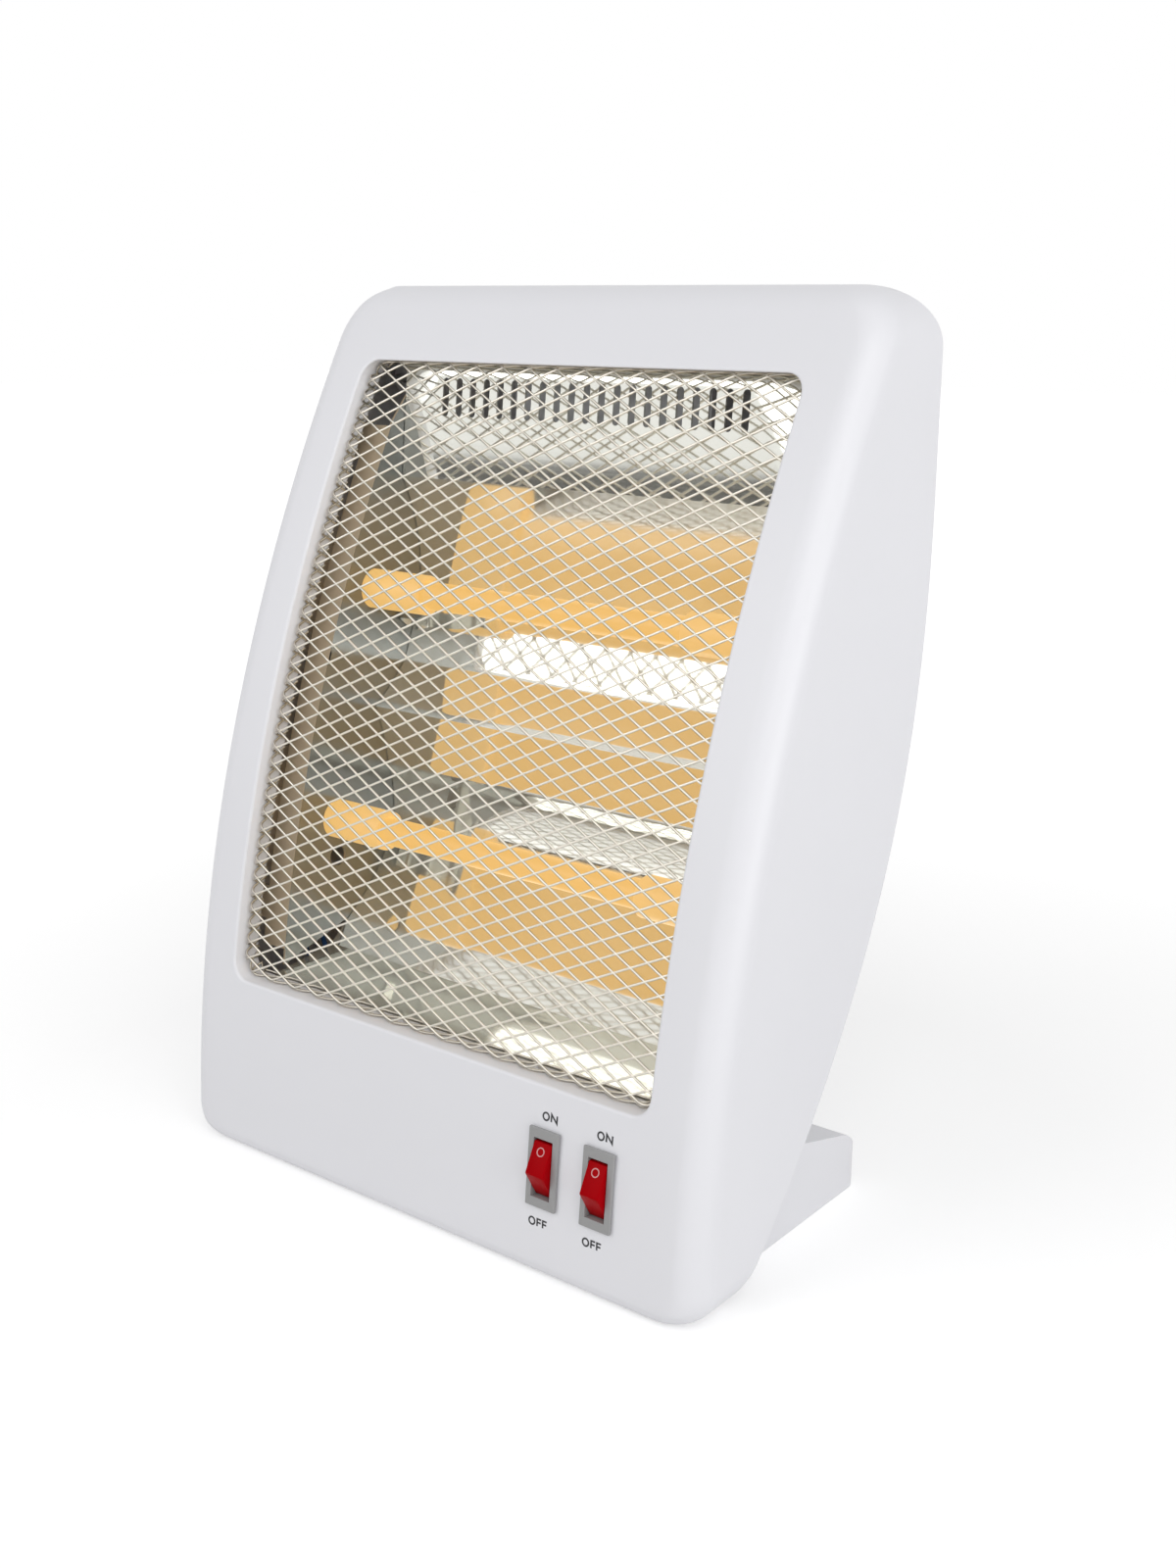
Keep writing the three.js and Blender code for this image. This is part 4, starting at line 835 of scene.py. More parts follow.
# --------------------------------------------------------------------- housing
def window_outline(grow, corner_steps=8, side_steps=56, level_steps=4):
    """The window's [x, z] outline, moved outward by a distance."""
    half, z0, z1, r = WINDOW_HALF + grow, WINDOW_Z0 - grow, WINDOW_Z1 + grow, WINDOW_R + grow
    corners = ((half - r, z0 + r, -90), (half - r, z1 - r, 0), (r - half, z1 - r, 90),
               (r - half, z0 + r, 180))
    outline = []
    for i, (cx, cz, start) in enumerate(corners):
        for k in range(corner_steps + 1):
            angle = math.radians(start + 90 * k / corner_steps)
            outline.append((cx + r * math.cos(angle), cz + r * math.sin(angle)))
        x, z = outline[-1]
        nx, nz, turn = corners[(i + 1) % 4]
        angle = math.radians(turn)
        end = (nx + r * math.cos(angle), nz + r * math.sin(angle))
        steps = side_steps if abs(end[1] - z) > 1 else level_steps
        for k in range(1, steps):
            outline.append((x + (end[0] - x) * k / steps, z + (end[1] - z) * k / steps))
    return outline


def lip_shape():
    """The rolled edge round the window, with its short wall behind the face."""
    r = LIP_ROUND
    profile = [(r, 0.0)]
    for i in range(1, 6):
        angle = math.pi / 2 * i / 5
        profile.append((r - r * math.sin(angle), r - r * math.cos(angle)))
    profile += [(0.0, LIP_DEPTH), (LIP_WALL, LIP_DEPTH), (LIP_WALL, WALL), (r, WALL)]
    loops = [[(x, face_y(z) + depth, z) for x, z in window_outline(grow)] for grow, depth in profile]
    return ring_of([list(section) for section in zip(*loops)])


def level_list(count):
    """Heights for the housing's rings, close together where its edges are round."""
    levels = [CORNER_BOTTOM * (1 - math.cos(math.pi / 2 * i / 14)) for i in range(15)]
    levels += spread(CORNER_BOTTOM, HEIGHT - CORNER_TOP, count)[1:]
    levels += [HEIGHT - CORNER_TOP * (1 - math.sin(math.pi / 2 * i / 20)) for i in range(1, 21)]
    return levels


class HEATER_OT_front_housing(bpy.types.Operator):
    """Builds the front housing with its window, the window's rolled lip and the switch openings"""

    bl_idname = "heater.front_housing"
    bl_label = "Front housing"

    def execute(self, context):
        obj = build("front_housing", loft([body_ring(z, 0.0) for z in level_list(80)]))
        levels = [WALL, *(z for z in level_list(30) if WALL < z < HEIGHT - WALL), HEIGHT - WALL]
        combine(obj, loft([body_ring(z, WALL, 6, 2) for z in levels]), "DIFFERENCE")
        half = HALF - WALL + REBATE
        mouth = []
        for z in spread(COVER_Z0, COVER_Z1, 30):
            middle = (front_y(z, 0) + rear_y(z)) / 2
            mouth.append([(half, 200, z), (-half, 200, z), (-half, middle, z), (half, middle, z)])
        combine(obj, loft(mouth), "DIFFERENCE")
        combine(obj, prism(window_outline(LIP_ROUND), -20, 112), "DIFFERENCE")
        w, length = SWITCH_BODY_W / 2 + GAP, SWITCH_BODY_L / 2 + GAP
        holes = [moved(box(x - w, x + w, -5, 12, -length, length), switch_matrix()) for x in SWITCH_X]
        holes.append(bar((TILT_X, TILT_Y, -1), (TILT_X, TILT_Y, 5), TILT_BUTTON_R + 0.5, 32))
        combine(obj, joined(*holes), "DIFFERENCE")
        smooth(obj)
        lip = smooth(build("lip", lip_shape()))
        bm = bmesh.new()
        bm.from_mesh(obj.data)
        bm.from_mesh(lip.data)
        bm.to_mesh(obj.data)
        bm.free()
        discard(lip)
        finish(obj, white_plastic(), stands_for=["front_shell"])
        return {"FINISHED"}


class HEATER_OT_guard(bpy.types.Operator):
    """Lays the expanded metal guard in the window"""

    bl_idname = "heater.guard"
    bl_label = "Guard"

    def execute(self, context):
        sizes = context.scene.heater_sizes
        obj = build("guard_net", ([(0, 0, 0)], []), merge=0.0)
        run_tree(obj, net_tree(), {
            "Pitch across": sizes.net_pitch_x, "Pitch up": sizes.net_pitch_z,
            "Strand width": sizes.strand_width, "Strand thickness": sizes.strand_thickness,
            "Half width": (WINDOW_HALF - GAP - 0.5) * MM, "Bottom": (WINDOW_Z0 + GAP + 0.5) * MM,
            "Top": (WINDOW_Z1 - GAP - 0.5) * MM, "Corner radius": WINDOW_R * MM,
            "Roll radius": 2.5 * MM, "Roll depth": 7.0 * MM, "Height": HEIGHT * MM,
            "Lean": FACE_LEAN * MM, "Bow": FACE_BOW * MM,
            "Start y": (GUARD_FRONT + 0.4 - ORIGIN_Y) * MM, "Material": bright_steel()})
        if not obj.data.polygons:
            raise RuntimeError("the net came out empty")
        finish(obj, bright_steel(), stands_for=["guard_mesh"])
        return {"FINISHED"}


# ------------------------------------------------------------------- reflector
LEAN = math.atan2(TUBE_UPPER[0] - TUBE_LOWER[0], TUBE_UPPER[1] - TUBE_LOWER[1])
HALF_PITCH = math.dist(TUBE_UPPER, TUBE_LOWER) / 2


def trough_point(tube, s, d):
    return (tube[0] + s * math.sin(LEAN) + d * math.cos(LEAN),
            tube[1] + s * math.cos(LEAN) - d * math.sin(LEAN))


def trough_depth(depth, shape, distance):
    """How far a trough lies behind its tube, at a distance from the tube along the trough."""
    curve, bend, slope, curl = shape
    past = max(0.0, distance - bend)
    return depth - curve * min(distance, bend) ** 2 - slope * past - curl * past * past


def upper_trough(s, back=0.0):
    shape = UPPER_ABOVE if s > 0 else UPPER_BELOW
    y, z = trough_point(TUBE_UPPER, s, trough_depth(UPPER_DEPTH, shape, abs(s)))
    return y + back, z


def lower_trough(s, back=0.0):
    shape = LOWER_ABOVE if s > 0 else LOWER_BELOW
    y, z = trough_point(TUBE_LOWER, s, trough_depth(LOWER_DEPTH, shape, abs(s)))
    return y + back, z


def reflector_path(steps=60):
    flange = LIP_DEPTH + GAP + GUARD_SHEET + GAP
    path = [(face_y(WINDOW_Z0 - 4.5) + flange, WINDOW_Z0 - 4.5),
            (face_y(WINDOW_Z0) + flange + 0.2, WINDOW_Z0 - 0.1)]
    path += [lower_trough(s) for s in spread(-LOWER_END, HALF_PITCH, steps)]
    path += [upper_trough(s) for s in spread(-HALF_PITCH, UPPER_END, steps)[1:]]
    path.append((face_y(WINDOW_Z1) + flange + 0.4, WINDOW_Z1 + 0.1))
    path.append((face_y(WINDOW_Z1 + 5) + flange + 0.4, WINDOW_Z1 + 5))
    return path


def cheek_outline():
    toe, crown = WINDOW_Z0 + 2.1, WINDOW_Z1 - 13.5
    front = [(face_y(toe) + CHEEK_SET + 0.6, toe)]
    front += [(face_y(z) + CHEEK_SET, z) for z in spread(WINDOW_Z0 + 23.1, WINDOW_Z1 - 25.5, 35)]
    rear = [(face_y(crown) + CHEEK_SET + 4, crown)]
    rear += [upper_trough(s, 4) for s in spread(UPPER_END, -UPPER_BELOW[1], 20)]
    rear += [lower_trough(s, 4) for s in spread(LOWER_ABOVE[1], -LOWER_BELOW[1], 20)]
    return front + rear


def bowed(x0, x1, z0, z1, depth0, depth1, steps=40):
    """A strip that follows the face at a depth behind it."""
    front, back = ([(face_y(z) + depth, z) for z in spread(z0, z1, steps)] for depth in (depth0, depth1))
    return ribbon(front, back, x0, x1)


class HEATER_OT_reflector(bpy.types.Operator):
    """Builds the two-trough reflector with its slotted top panel and its end cheeks"""

    bl_idname = "heater.reflector"
    bl_label = "Reflector"

    def execute(self, context):
        steel = polished_steel()
        half = CHEEK_X - GAP
        path = reflector_path()
        obj = build("reflector_sheet", ribbon(path, offset_path(path, SHEET), -half, half))
        smooth(obj, 28)
        r = SLOT_WIDTH / 2
        opening = prism(obround(-r, r, SLOT_Z0, SLOT_Z1), 84, 124)
        count = context.scene.heater_sizes.slot_count
        places = [((i - (count - 1) / 2) * SLOT_PITCH, 0, 0) for i in range(count)]
        cut_row(obj, opening, places, steel)
        smooth(obj, 28)
        finish(obj, steel, stands_for=["reflector"])
        for side, name in ((-1, "left"), (1, "right")):
            def xs(a, b):
                return (a, b) if side > 0 else (-b, -a)

            cheek = build(f"reflector_cheek_{name}", slab(cheek_outline(), *xs(CHEEK_X, CHEEK_X + SHEET)))
            strips = [bowed(*xs(CHEEK_X, CHEEK_FLANGE_X), 86, 304, CHEEK_SET, CHEEK_SET + SHEET)]
            for z in EAR_Z:
                strips.append(bowed(*xs(CHEEK_FLANGE_X - 2, EAR_X), z - 7, z + 7, CHEEK_SET,
                                    CHEEK_SET + SHEET, 4))
            combine(cheek, joined(*strips), "UNION", overlapping=True)
            holes = [bar((side * 90, y, z), (side * 110, y, z), CAP_R + GAP, 40)
                     for y, z in (TUBE_UPPER, TUBE_LOWER)]
            holes.append(bar((side * 90, *LEAD_HOLE_START), (side * 110, *LEAD_HOLE_END), LEAD_HOLE_R))
            for z in EAR_Z:
                x, y = side * EAR_SCREW_X, face_y(z) + CHEEK_SET
                holes.append(bar((x, y - 5, z), (x, y + 6, z), SCREW_HOLE_R))
            combine(cheek, joined(*holes), "DIFFERENCE")
            smooth(cheek, 28)
            finish(cheek, cheek_steel(), stands_for=[f"reflector_end_{name}"])
            # The cheek's forward-facing faces take the painted warm light of the tubes; the rest keep the
            # cheek steel.
            cheek.data.materials.append(flange_painted_tube_light())
            for face in cheek.data.polygons:
                face.material_index = 1 if face.normal.y < FACING_FRONT else 0
        return {"FINISHED"}


# ----------------------------------------------------------------------- tubes
def round_profile(profile, r, steps=3):
    """A closed (along, radius) profile with its corners rounded."""
    rounded = []
    count = len(profile)
    for i, p in enumerate(profile):
        a, b = Vector(profile[i - 1]), Vector(profile[(i + 1) % count])
        p = Vector(p)
        cut = min(r, (a - p).length * 0.45, (b - p).length * 0.45)
        start, end = p + (a - p).normalized() * cut, p + (b - p).normalized() * cut
        for k in range(steps + 1):
            t = k / steps
            rounded.append(tuple(start * (1 - t) ** 2 + p * 2 * t * (1 - t) + end * t * t))
    return rounded


def smooth_path(points, per_span=6):
    """A Catmull-Rom path through the given points."""
    path = []
    ends = [points[0]] + list(points) + [points[-1]]
    for i in range(1, len(ends) - 2):
        p0, p1, p2, p3 = (Vector(ends[i + k]) for k in (-1, 0, 1, 2))
        for k in range(per_span):
            t = k / per_span
            path.append(tuple(0.5 * (2 * p1 + (p2 - p0) * t + (2 * p0 - 5 * p1 + 4 * p2 - p3) * t * t
                                     + (3 * p1 - p0 - 3 * p2 + p3) * t ** 3)))
    path.append(tuple(points[-1]))
    return path


# A leaf clip's line from the cheek to the cap, as (x, distance from the tube's axis).
CLIP_PATH = ((99, 27), (99, 21), (97.2, 18.9), (92, 18.2), (86, 17), (81, 13.8), (78.4, 10.4),
             (77, 9.3), (75, 9.4), (73.4, 10.6))
CLIP_T, CLIP_W, CLIP_TURN = 0.7, 6.0, math.radians(-40)


class HEATER_OT_tubes(bpy.types.Operator):
    """Builds the glowing quartz tubes with their end caps, whose glow is painted light, and spring clips
    """

    bl_idname = "heater.tubes"
    bl_label = "Tubes"

    def execute(self, context):
        glow = glowing("hot frosted quartz", colours().glow, 1.0)
        # The caps glow with painted light, an emission that stands in for the tubes' light on them.
        ceramic = glowing("lit cap ceramic", colours().ceramic, 0.85, linear(150, 120, 80))
        steel = spring_steel()
        path = smooth_path([(r, x) for x, r in CLIP_PATH])
        bore = TUBE_R + GAP
        for (y, z), name in ((TUBE_UPPER, "upper"), (TUBE_LOWER, "lower")):
            tube = round_profile([(-TUBE_HALF, TUBE_BORE_R), (-TUBE_HALF, TUBE_R), (TUBE_HALF, TUBE_R),
                                  (TUBE_HALF, TUBE_BORE_R)], 0.4)
            obj = smooth(build(f"hot_tube_{name}", lathe(tube, (0, y, z), (1, 0, 0), 64)))
            finish(obj, glow, stands_for=[f"quartz_tube_{name}"])
            for side, side_name in ((-1, "left"), (1, "right")):
                cap = round_profile([
                    (CAP_INNER_X, bore), (CAP_INNER_X, CAP_R), (CAP_OUTER_X, CAP_R), (CAP_OUTER_X, 2.0),
                    (TUBE_HALF + GAP, 2.0), (TUBE_HALF + GAP, bore)], 0.9)
                obj = smooth(build(f"end_cap_{name}_{side_name}", lathe(cap, (0, y, z), (side, 0, 0))))
                finish(obj, ceramic, stands_for=[f"tube_cap_{name}_{side_name}"])
                points, faces = ribbon(offset_path(path, CLIP_T / 2), offset_path(path, -CLIP_T / 2),
                                       -CLIP_W / 2, CLIP_W / 2)
                points = [(side * x, r, -across) for across, r, x in points]
                turn = Matrix.Translation((0, y, z)) @ Matrix.Rotation(CLIP_TURN, 4, "X")
                obj = smooth(build(f"spring_clip_{name}_{side_name}", moved((points, faces), turn)))
                finish(obj, steel, stands_for=[f"tube_clip_{name}_{side_name}"])
        return {"FINISHED"}


# ------------------------------------------------------------------ rear cover
def foot_screw_line():
    z = FOOT_SCREW_Z
    slope = (cover_y(z + 3) - cover_y(z - 3)) / 6
    length = math.hypot(1, slope)
    return (cover_y(z), z), (1 / length, -slope / length)


def along(x, line, distance):
    (y, z), (dy, dz) = line
    return (x, y + dy * distance, z + dz * distance)


class HEATER_OT_rear_cover(bpy.types.Operator):
    """Builds the rear cover with its vents, grip, screw wells and cord inlet"""

    bl_idname = "heater.rear_cover"
    bl_label = "Rear cover"

    def execute(self, context):
        white = white_plastic()
        half = HALF - WALL + REBATE - GAP
        z0, z1 = COVER_Z0 + GAP, COVER_Z1 - GAP
        curve = [(cover_y(z), z) for z in spread(z0, z1, 90)]
        obj = build("rear_panel", ribbon(curve, offset_path(curve, -COVER_T), -half, half))
        line = foot_screw_line()
        inlet_y = cover_y(INLET_Z)
        solids = [bar((x, well_y(z), z), (x, cover_y(z) + 12, z), WELL_R, 40)
                  for x, z in housing_screw_places()]
        solids += [bar(along(x, line, -12), along(x, line, -1), 4.0) for x in FOOT_SCREW_X]
        solids.append(bar((INLET_X, inlet_y - 14, INLET_Z), (INLET_X, inlet_y + 12, INLET_Z), 10.5, 48))
        solids.append(box(-GRIP_HALF - COVER_T, GRIP_HALF + COVER_T, REAR_Y - GRIP_DEPTH - COVER_T, 150,
                          GRIP_Z0 - COVER_T, GRIP_Z1 + COVER_T))
        combine(obj, joined(*solids), "UNION", overlapping=True)
        keep = ribbon(curve, [(0, z) for _, z in curve], -half, half)
        combine(obj, keep, "INTERSECT")
        grip = obround(-GRIP_HALF, GRIP_HALF, GRIP_Z0, GRIP_Z1, 12)
        cuts = [prism(grip, REAR_Y - GRIP_DEPTH, 160)]
        for x, z in housing_screw_places():
            floor = well_y(z) + WELL_FLOOR
            cuts.append(bar((x, floor, z), (x, floor + 30, z), SCREW_HEAD_R + 0.8, 40))
            cuts.append(bar((x, floor - 5, z), (x, floor + 1, z), SCREW_HOLE_R))
        cuts += [bar(along(x, line, -11), along(x, line, 2), SCREW_R + GAP) for x in FOOT_SCREW_X]
        seat = inlet_y - 11.5
        cuts.append(bar((INLET_X, seat, INLET_Z), (INLET_X, seat + 30, INLET_Z), 8.3, 48))
        cuts.append(bar((INLET_X, seat - 5, INLET_Z), (INLET_X, seat + 1, INLET_Z), INLET_HOLE_R, 48))
        combine(obj, joined(*cuts), "DIFFERENCE", overlapping=True)
        for length, away, z, rows, depth in (UPPER_VENTS, LOWER_VENTS):
            vent = prism(obround(-length, length, 0, VENT_HEIGHT), depth, 160)
            cut_row(obj, vent, [(side * away, 0, z + row * VENT_PITCH)
                                for row in range(rows) for side in (-1, 1)], white)
        smooth(obj)
        finish(obj, white, stands_for=["rear_cover"])
        start = seat + GAP
        profile = round_profile([
            (start - 6, INLET_BORE_R), (start - 6, INLET_HOLE_R - GAP), (start, INLET_HOLE_R - GAP),
            (start, 7.8), (start + 2.2, 7.2), (start + 3, INLET_BORE_R)], 0.5)
        bush = smooth(build("inlet_bush", lathe(profile, (INLET_X, 0, INLET_Z), (0, 1, 0))))
        black = plastic("black bush plastic", (0.015, 0.015, 0.016), (0.4, 0.5), 0.1)
        finish(bush, black, stands_for=["cord_inlet_bush"])
        return {"FINISHED"}


# ------------------------------------------------------------------------ foot
def foot_outline(inset):
    """The foot from the side, as a [y, z] outline."""
    clear = GAP + inset
    front = []
    for z in spread(17, 42.5, 12):
        slope = (cover_y(z + 2) - cover_y(z - 2)) / 4
        length = math.hypot(1, slope)
        front.append((cover_y(z) + clear / length, z - clear * slope / length))
    rear = [(96, 35.5)] + smooth_path(FOOT_NOSE)
    low = -1.0 if inset else 0.0
    back = [(y - inset * 0.8, z - inset) for y, z in rear]
    return [(front[0][0], low)] + front + back + [(142.6 - inset, low)]


def foot_plan(inset):
    """The foot from above, as an upright block with two round corners."""
    half, r, y1 = FOOT_HALF - inset, FOOT_CORNER - inset, FOOT_REAR_Y - inset
    outline = [(-half, 10), (half, 10)]
    for cx, start in ((half - r, 0), (r - half, 90)):
        for i in range(13):
            angle = math.radians(start + 90 * i / 12)
            outline.append((cx + r * math.cos(angle), y1 - r + r * math.sin(angle)))
    return loft([[(x, y, z) for x, y in outline] for z in (-5, 55)])


class HEATER_OT_stand_foot(bpy.types.Operator):
    """Builds the rear foot that the heater leans on"""

    bl_idname = "heater.stand_foot"
    bl_label = "Foot"

    def execute(self, context):
        obj = build("rear_foot", slab(foot_outline(0.0), -FOOT_HALF, FOOT_HALF))
        combine(obj, foot_plan(0.0), "INTERSECT")
        bevel(obj, 1.0, 3, 50)
        bays = build("bays", joined(*[slab(foot_outline(FOOT_WALL), a, b)
                                      for a, b in FOOT_BAYS]))
        combine(bays, foot_plan(FOOT_WALL), "INTERSECT")
        combine_with(obj, bays, "DIFFERENCE")
        line = foot_screw_line()
        combine(obj, joined(*[bar(along(x, line, -1), along(x, line, 6), SCREW_HOLE_R)
                              for x in FOOT_SCREW_X]), "DIFFERENCE")
        smooth(obj)
        finish(obj, white_plastic(), stands_for=["stand_foot"])
        return {"FINISHED"}


# -------------------------------------------------------------------- switches
def rocker_outline():
    """A rocker from its side, as (y, z) round its own pin, -y towards the user."""
    r, p = ROCKER_HALF, ROCKER_PIVOT
    outline = [(0.6, ROCKER_RIDGE - 0.25), (0, ROCKER_RIDGE), (-0.6, ROCKER_RIDGE - 0.25), (-r, 0.1),
               (-10.4, -4.5), (-4, -7), (4, -7), (10.4, -4.5), (r, 0.1)]
    return [(-(w - p), v) for v, w in outline]


def rocker_matrix(x):
    place = Matrix.Translation((x, -ROCKER_PIVOT, 0)) @ Matrix.Rotation(math.radians(ROCKER_TILT), 4, "X")
    return switch_matrix() @ place


def stroke(points, width, height, closed=False):
    """A raised line drawn in (x, z), standing out towards -y."""
    count = len(points)
    left, right = [], []
    for i, (x, z) in enumerate(points):
        before = points[(i - 1) % count] if closed or i else points[i]
        after = points[(i + 1) % count] if closed or i < count - 1 else points[i]
        a = Vector((x - before[0], z - before[1]))
        b = Vector((after[0] - x, after[1] - z))
        a = (a if a.length > 1e-9 else b).normalized()
        b = (b if b.length > 1e-9 else a).normalized()
        middle = (a + b).normalized()
        reach = width / 2 / max(0.35, middle.dot(a))
        normal = Vector((-middle.y, middle.x)) * reach
        left.append((x + normal.x, z + normal.y))
        right.append((x - normal.x, z - normal.y))
    sections = [[(lx, -height, lz), (rx, -height, rz), (rx, 0.05, rz), (lx, 0.05, lz)]
                for (lx, lz), (rx, rz) in zip(left, right)]
    return ring_of(sections) if closed else loft(sections)


def oval(cx, cz, rx, rz, steps=40):
    return [(cx + rx * math.cos(2 * math.pi * i / steps), cz + rz * math.sin(2 * math.pi * i / steps))
            for i in range(steps)]


class HEATER_OT_switches(bpy.types.Operator):
    """Builds the two switches: grey housings, red rockers and their two marks"""

    bl_idname = "heater.switches"
    bl_label = "Switches"

    def execute(self, context):
        grey = plastic("grey switch plastic", colours().bezel, (0.35, 0.5), 0.03, 900.0, 0.02)
        red = plastic("red rocker plastic", colours().rocker, (0.3, 0.38), 0.06, 400.0, 0.004, 0.03)
        pale = plastic("pale mark ink", linear(206, 150, 150), (0.4, 0.5), 0.05)
        hw, hl = SWITCH_BODY_W / 2, SWITCH_BODY_L / 2
        for n, (x, body) in enumerate(zip(SWITCH_X, ("rocker_left", "rocker_right")), 1):
            at = switch_matrix() @ Matrix.Translation((x, 0, 0))
            plate = box(-BEZEL_W / 2, BEZEL_W / 2, -BEZEL_T, -0.15, -BEZEL_L / 2, BEZEL_L / 2)
            obj = bevel(build(f"switch_frame_{n}", moved(plate, at)), 0.5, 3)
            combine(obj, moved(box(-hw, hw, -BEZEL_T / 2, SWITCH_DEPTH, -hl, hl), at), "UNION")
            mouth = ROCKER_W / 2 + GAP
            cuts = [box(-mouth, mouth, -5, 9, -11.65, 11.65),
                    bar((-mouth - 1.2, -ROCKER_PIVOT, 0), (mouth + 1.2, -ROCKER_PIVOT, 0), 1.5)]
            combine(obj, moved(joined(*cuts), at), "DIFFERENCE", overlapping=True)
            slits = joined(*[box(-3.5, 3.5, 12, 20, v - 0.7, v + 0.7) for v in (-7, 7)])
            combine(obj, moved(slits, at), "DIFFERENCE")
            smooth(obj, 25)
            finish(obj, grey, stands_for=[f"switch_housing_{n}"])
            body_shape = slab(rocker_outline(), -ROCKER_W / 2, ROCKER_W / 2)
            rocker = build(f"rocker_cap_{n}", moved(body_shape, rocker_matrix(x)))
            bevel(rocker, 0.3, 2, 30)
            pin = bar((-mouth - 0.9, 0, 0), (mouth + 0.9, 0, 0), 1.2)
            combine(rocker, moved(pin, rocker_matrix(x)), "UNION")
            smooth(rocker, 25)
            finish(rocker, red, body=body, stands_for=[f"rocker_{n}"])
            rise = (ROCKER_RIDGE - 0.1) / ROCKER_HALF
            facet = Matrix.Translation((0, ROCKER_PIVOT - ROCKER_RIDGE + 0.02, 0)) @ Matrix.Rotation(
                -math.atan(rise), 4, "X")
            scale = math.hypot(1, rise)
            marks = joined(stroke(oval(0, 7.9 * scale, 1.55, 1.55), 0.4, 0.06, True),
                           stroke([(0.1, 1.7 * scale), (-0.1, 4.2 * scale)], 0.5, 0.06))
            obj = smooth(build(f"rocker_marks_{n}", moved(marks, rocker_matrix(x) @ facet)))
            finish(obj, pale, body=body)
        return {"FINISHED"}


LETTERS = {
    "O": (1.08, [("ring", None)]),
    "N": (0.86, [("line", [(0, 0), (0, 1), (0.74, 0), (0.74, 1)])]),
    "F": (0.74, [("line", [(0, 0), (0, 1), (0.52, 1)]), ("line", [(0, 0.52), (0.47, 0.52)])]),
}


def word(text, x, z, height):
    """A word in thin capitals, centred on a place of the face, as a shape in the face's plane."""
    weight = height * 0.19
    width = sum(LETTERS[c][0] for c in text) * height * 1.0
    pen = -width / 2
    shapes = []
    for c in text:
        advance, strokes = LETTERS[c]
        for kind, points in strokes:
            if kind == "ring":
                r = height / 2 - weight / 2
                shapes.append(stroke(oval(pen + height * 0.47, 0, r * 0.94, r), weight, 0.06, True))
            else:
                inner = height - weight
                path = [(pen + height * 0.1 + px * height, pz * inner - inner / 2) for px, pz in points]
                shapes.append(stroke(path, weight, 0.06))
        pen += advance * height
    slope = face_slope(z)
    at = Matrix.Translation((x, face_y(z), z)) @ Matrix.Rotation(-math.atan(slope), 4, "X")
    return moved(joined(*shapes), at)


class HEATER_OT_switch_labels(bpy.types.Operator):
    """Prints ON and OFF above and below the switches"""

    bl_idname = "heater.switch_labels"
    bl_label = "Switch labels"

    def execute(self, context):
        height = context.scene.heater_sizes.letter_height / MM
        words = [word("ON", x + 1.0, 65.6, height) for x in SWITCH_X]
        words += [word("OFF", x - 1.6, 23.4, height) for x in SWITCH_X]
        obj = smooth(build("switch_labels", joined(*words)))
        finish(obj, plastic("label ink", colours().letters, (0.4, 0.5), 0.05))
        return {"FINISHED"}


# ---------------------------------------------------------------------- screws
def screw_template():
    """A pan-head screw along its own Z, with a cross recess, drawn round the millimetre origin."""
    r, h = SCREW_HEAD_R, SCREW_HEAD_H
    profile = [(-14.0, 0.01), (-14.0, SCREW_R), (-h, SCREW_R), (-h, r), (-h * 0.55, r)]
    profile += [(-h * 0.55 * math.sin(t), r * math.cos(t) * 0.999 + 0.001)
                for t in reversed([math.pi / 2 * (1 - k / 6) for k in range(1, 6)])]
    profile.append((0.0, 0.01))
    obj = build("screw", lathe(profile, (0, ORIGIN_Y, 0), (0, 0, 1), 32), merge=2e-5)
    arms = [box(-a, a, ORIGIN_Y - b, ORIGIN_Y + b, -1.3, 1) for a, b in ((1.9, 0.35), (0.35, 1.9))]
    combine(obj, joined(*arms), "DIFFERENCE", overlapping=True)
    return smooth(obj)


class HEATER_OT_screws(bpy.types.Operator):
    """Sets the screws of the cover, the foot and the reflector"""

    bl_idname = "heater.screws"
    bl_label = "Screws"

    def execute(self, context):
        zinc = metal("zinc plated steel", linear(186, 188, 190), roughness=(0.25, 0.38),
                     marks=(700.0, 700.0, 700.0))
        template = screw_template()
        line = foot_screw_line()
        out = (0, line[1][0], line[1][1])
        sets = {
            "housing": [((x, well_y(z) + WELL_FLOOR + GAP + SCREW_HEAD_H, z), (0, 1, 0))
                        for x, z in housing_screw_places()],
            "foot": [(along(x, line, 2 * GAP + FOOT_WALL + SCREW_HEAD_H), out) for x in FOOT_SCREW_X],
            "reflector": [((side * EAR_SCREW_X, face_y(z + 4) + CHEEK_SET + SHEET + GAP + SCREW_HEAD_H, z),
                           (0, 1, 0)) for side in (-1, 1) for z in EAR_Z],
        }
        for name, places in sets.items():
            obj = build(f"{name}_screws", ([p for p, _ in places], []), merge=0.0)
            directions = obj.data.attributes.new("direction", "FLOAT_VECTOR", "POINT")
            directions.data.foreach_set("vector", [c for _, d in places for c in d])
            run_tree(obj, repeat_tree(), {"Piece": template, "Turn seed": 5, "Material": zinc})
            smooth(obj)
            finish(obj, zinc,
                   stands_for=[f"{name}_screw_{i + 1}" for i in range(len(places))])
        discard(template)
        return {"FINISHED"}


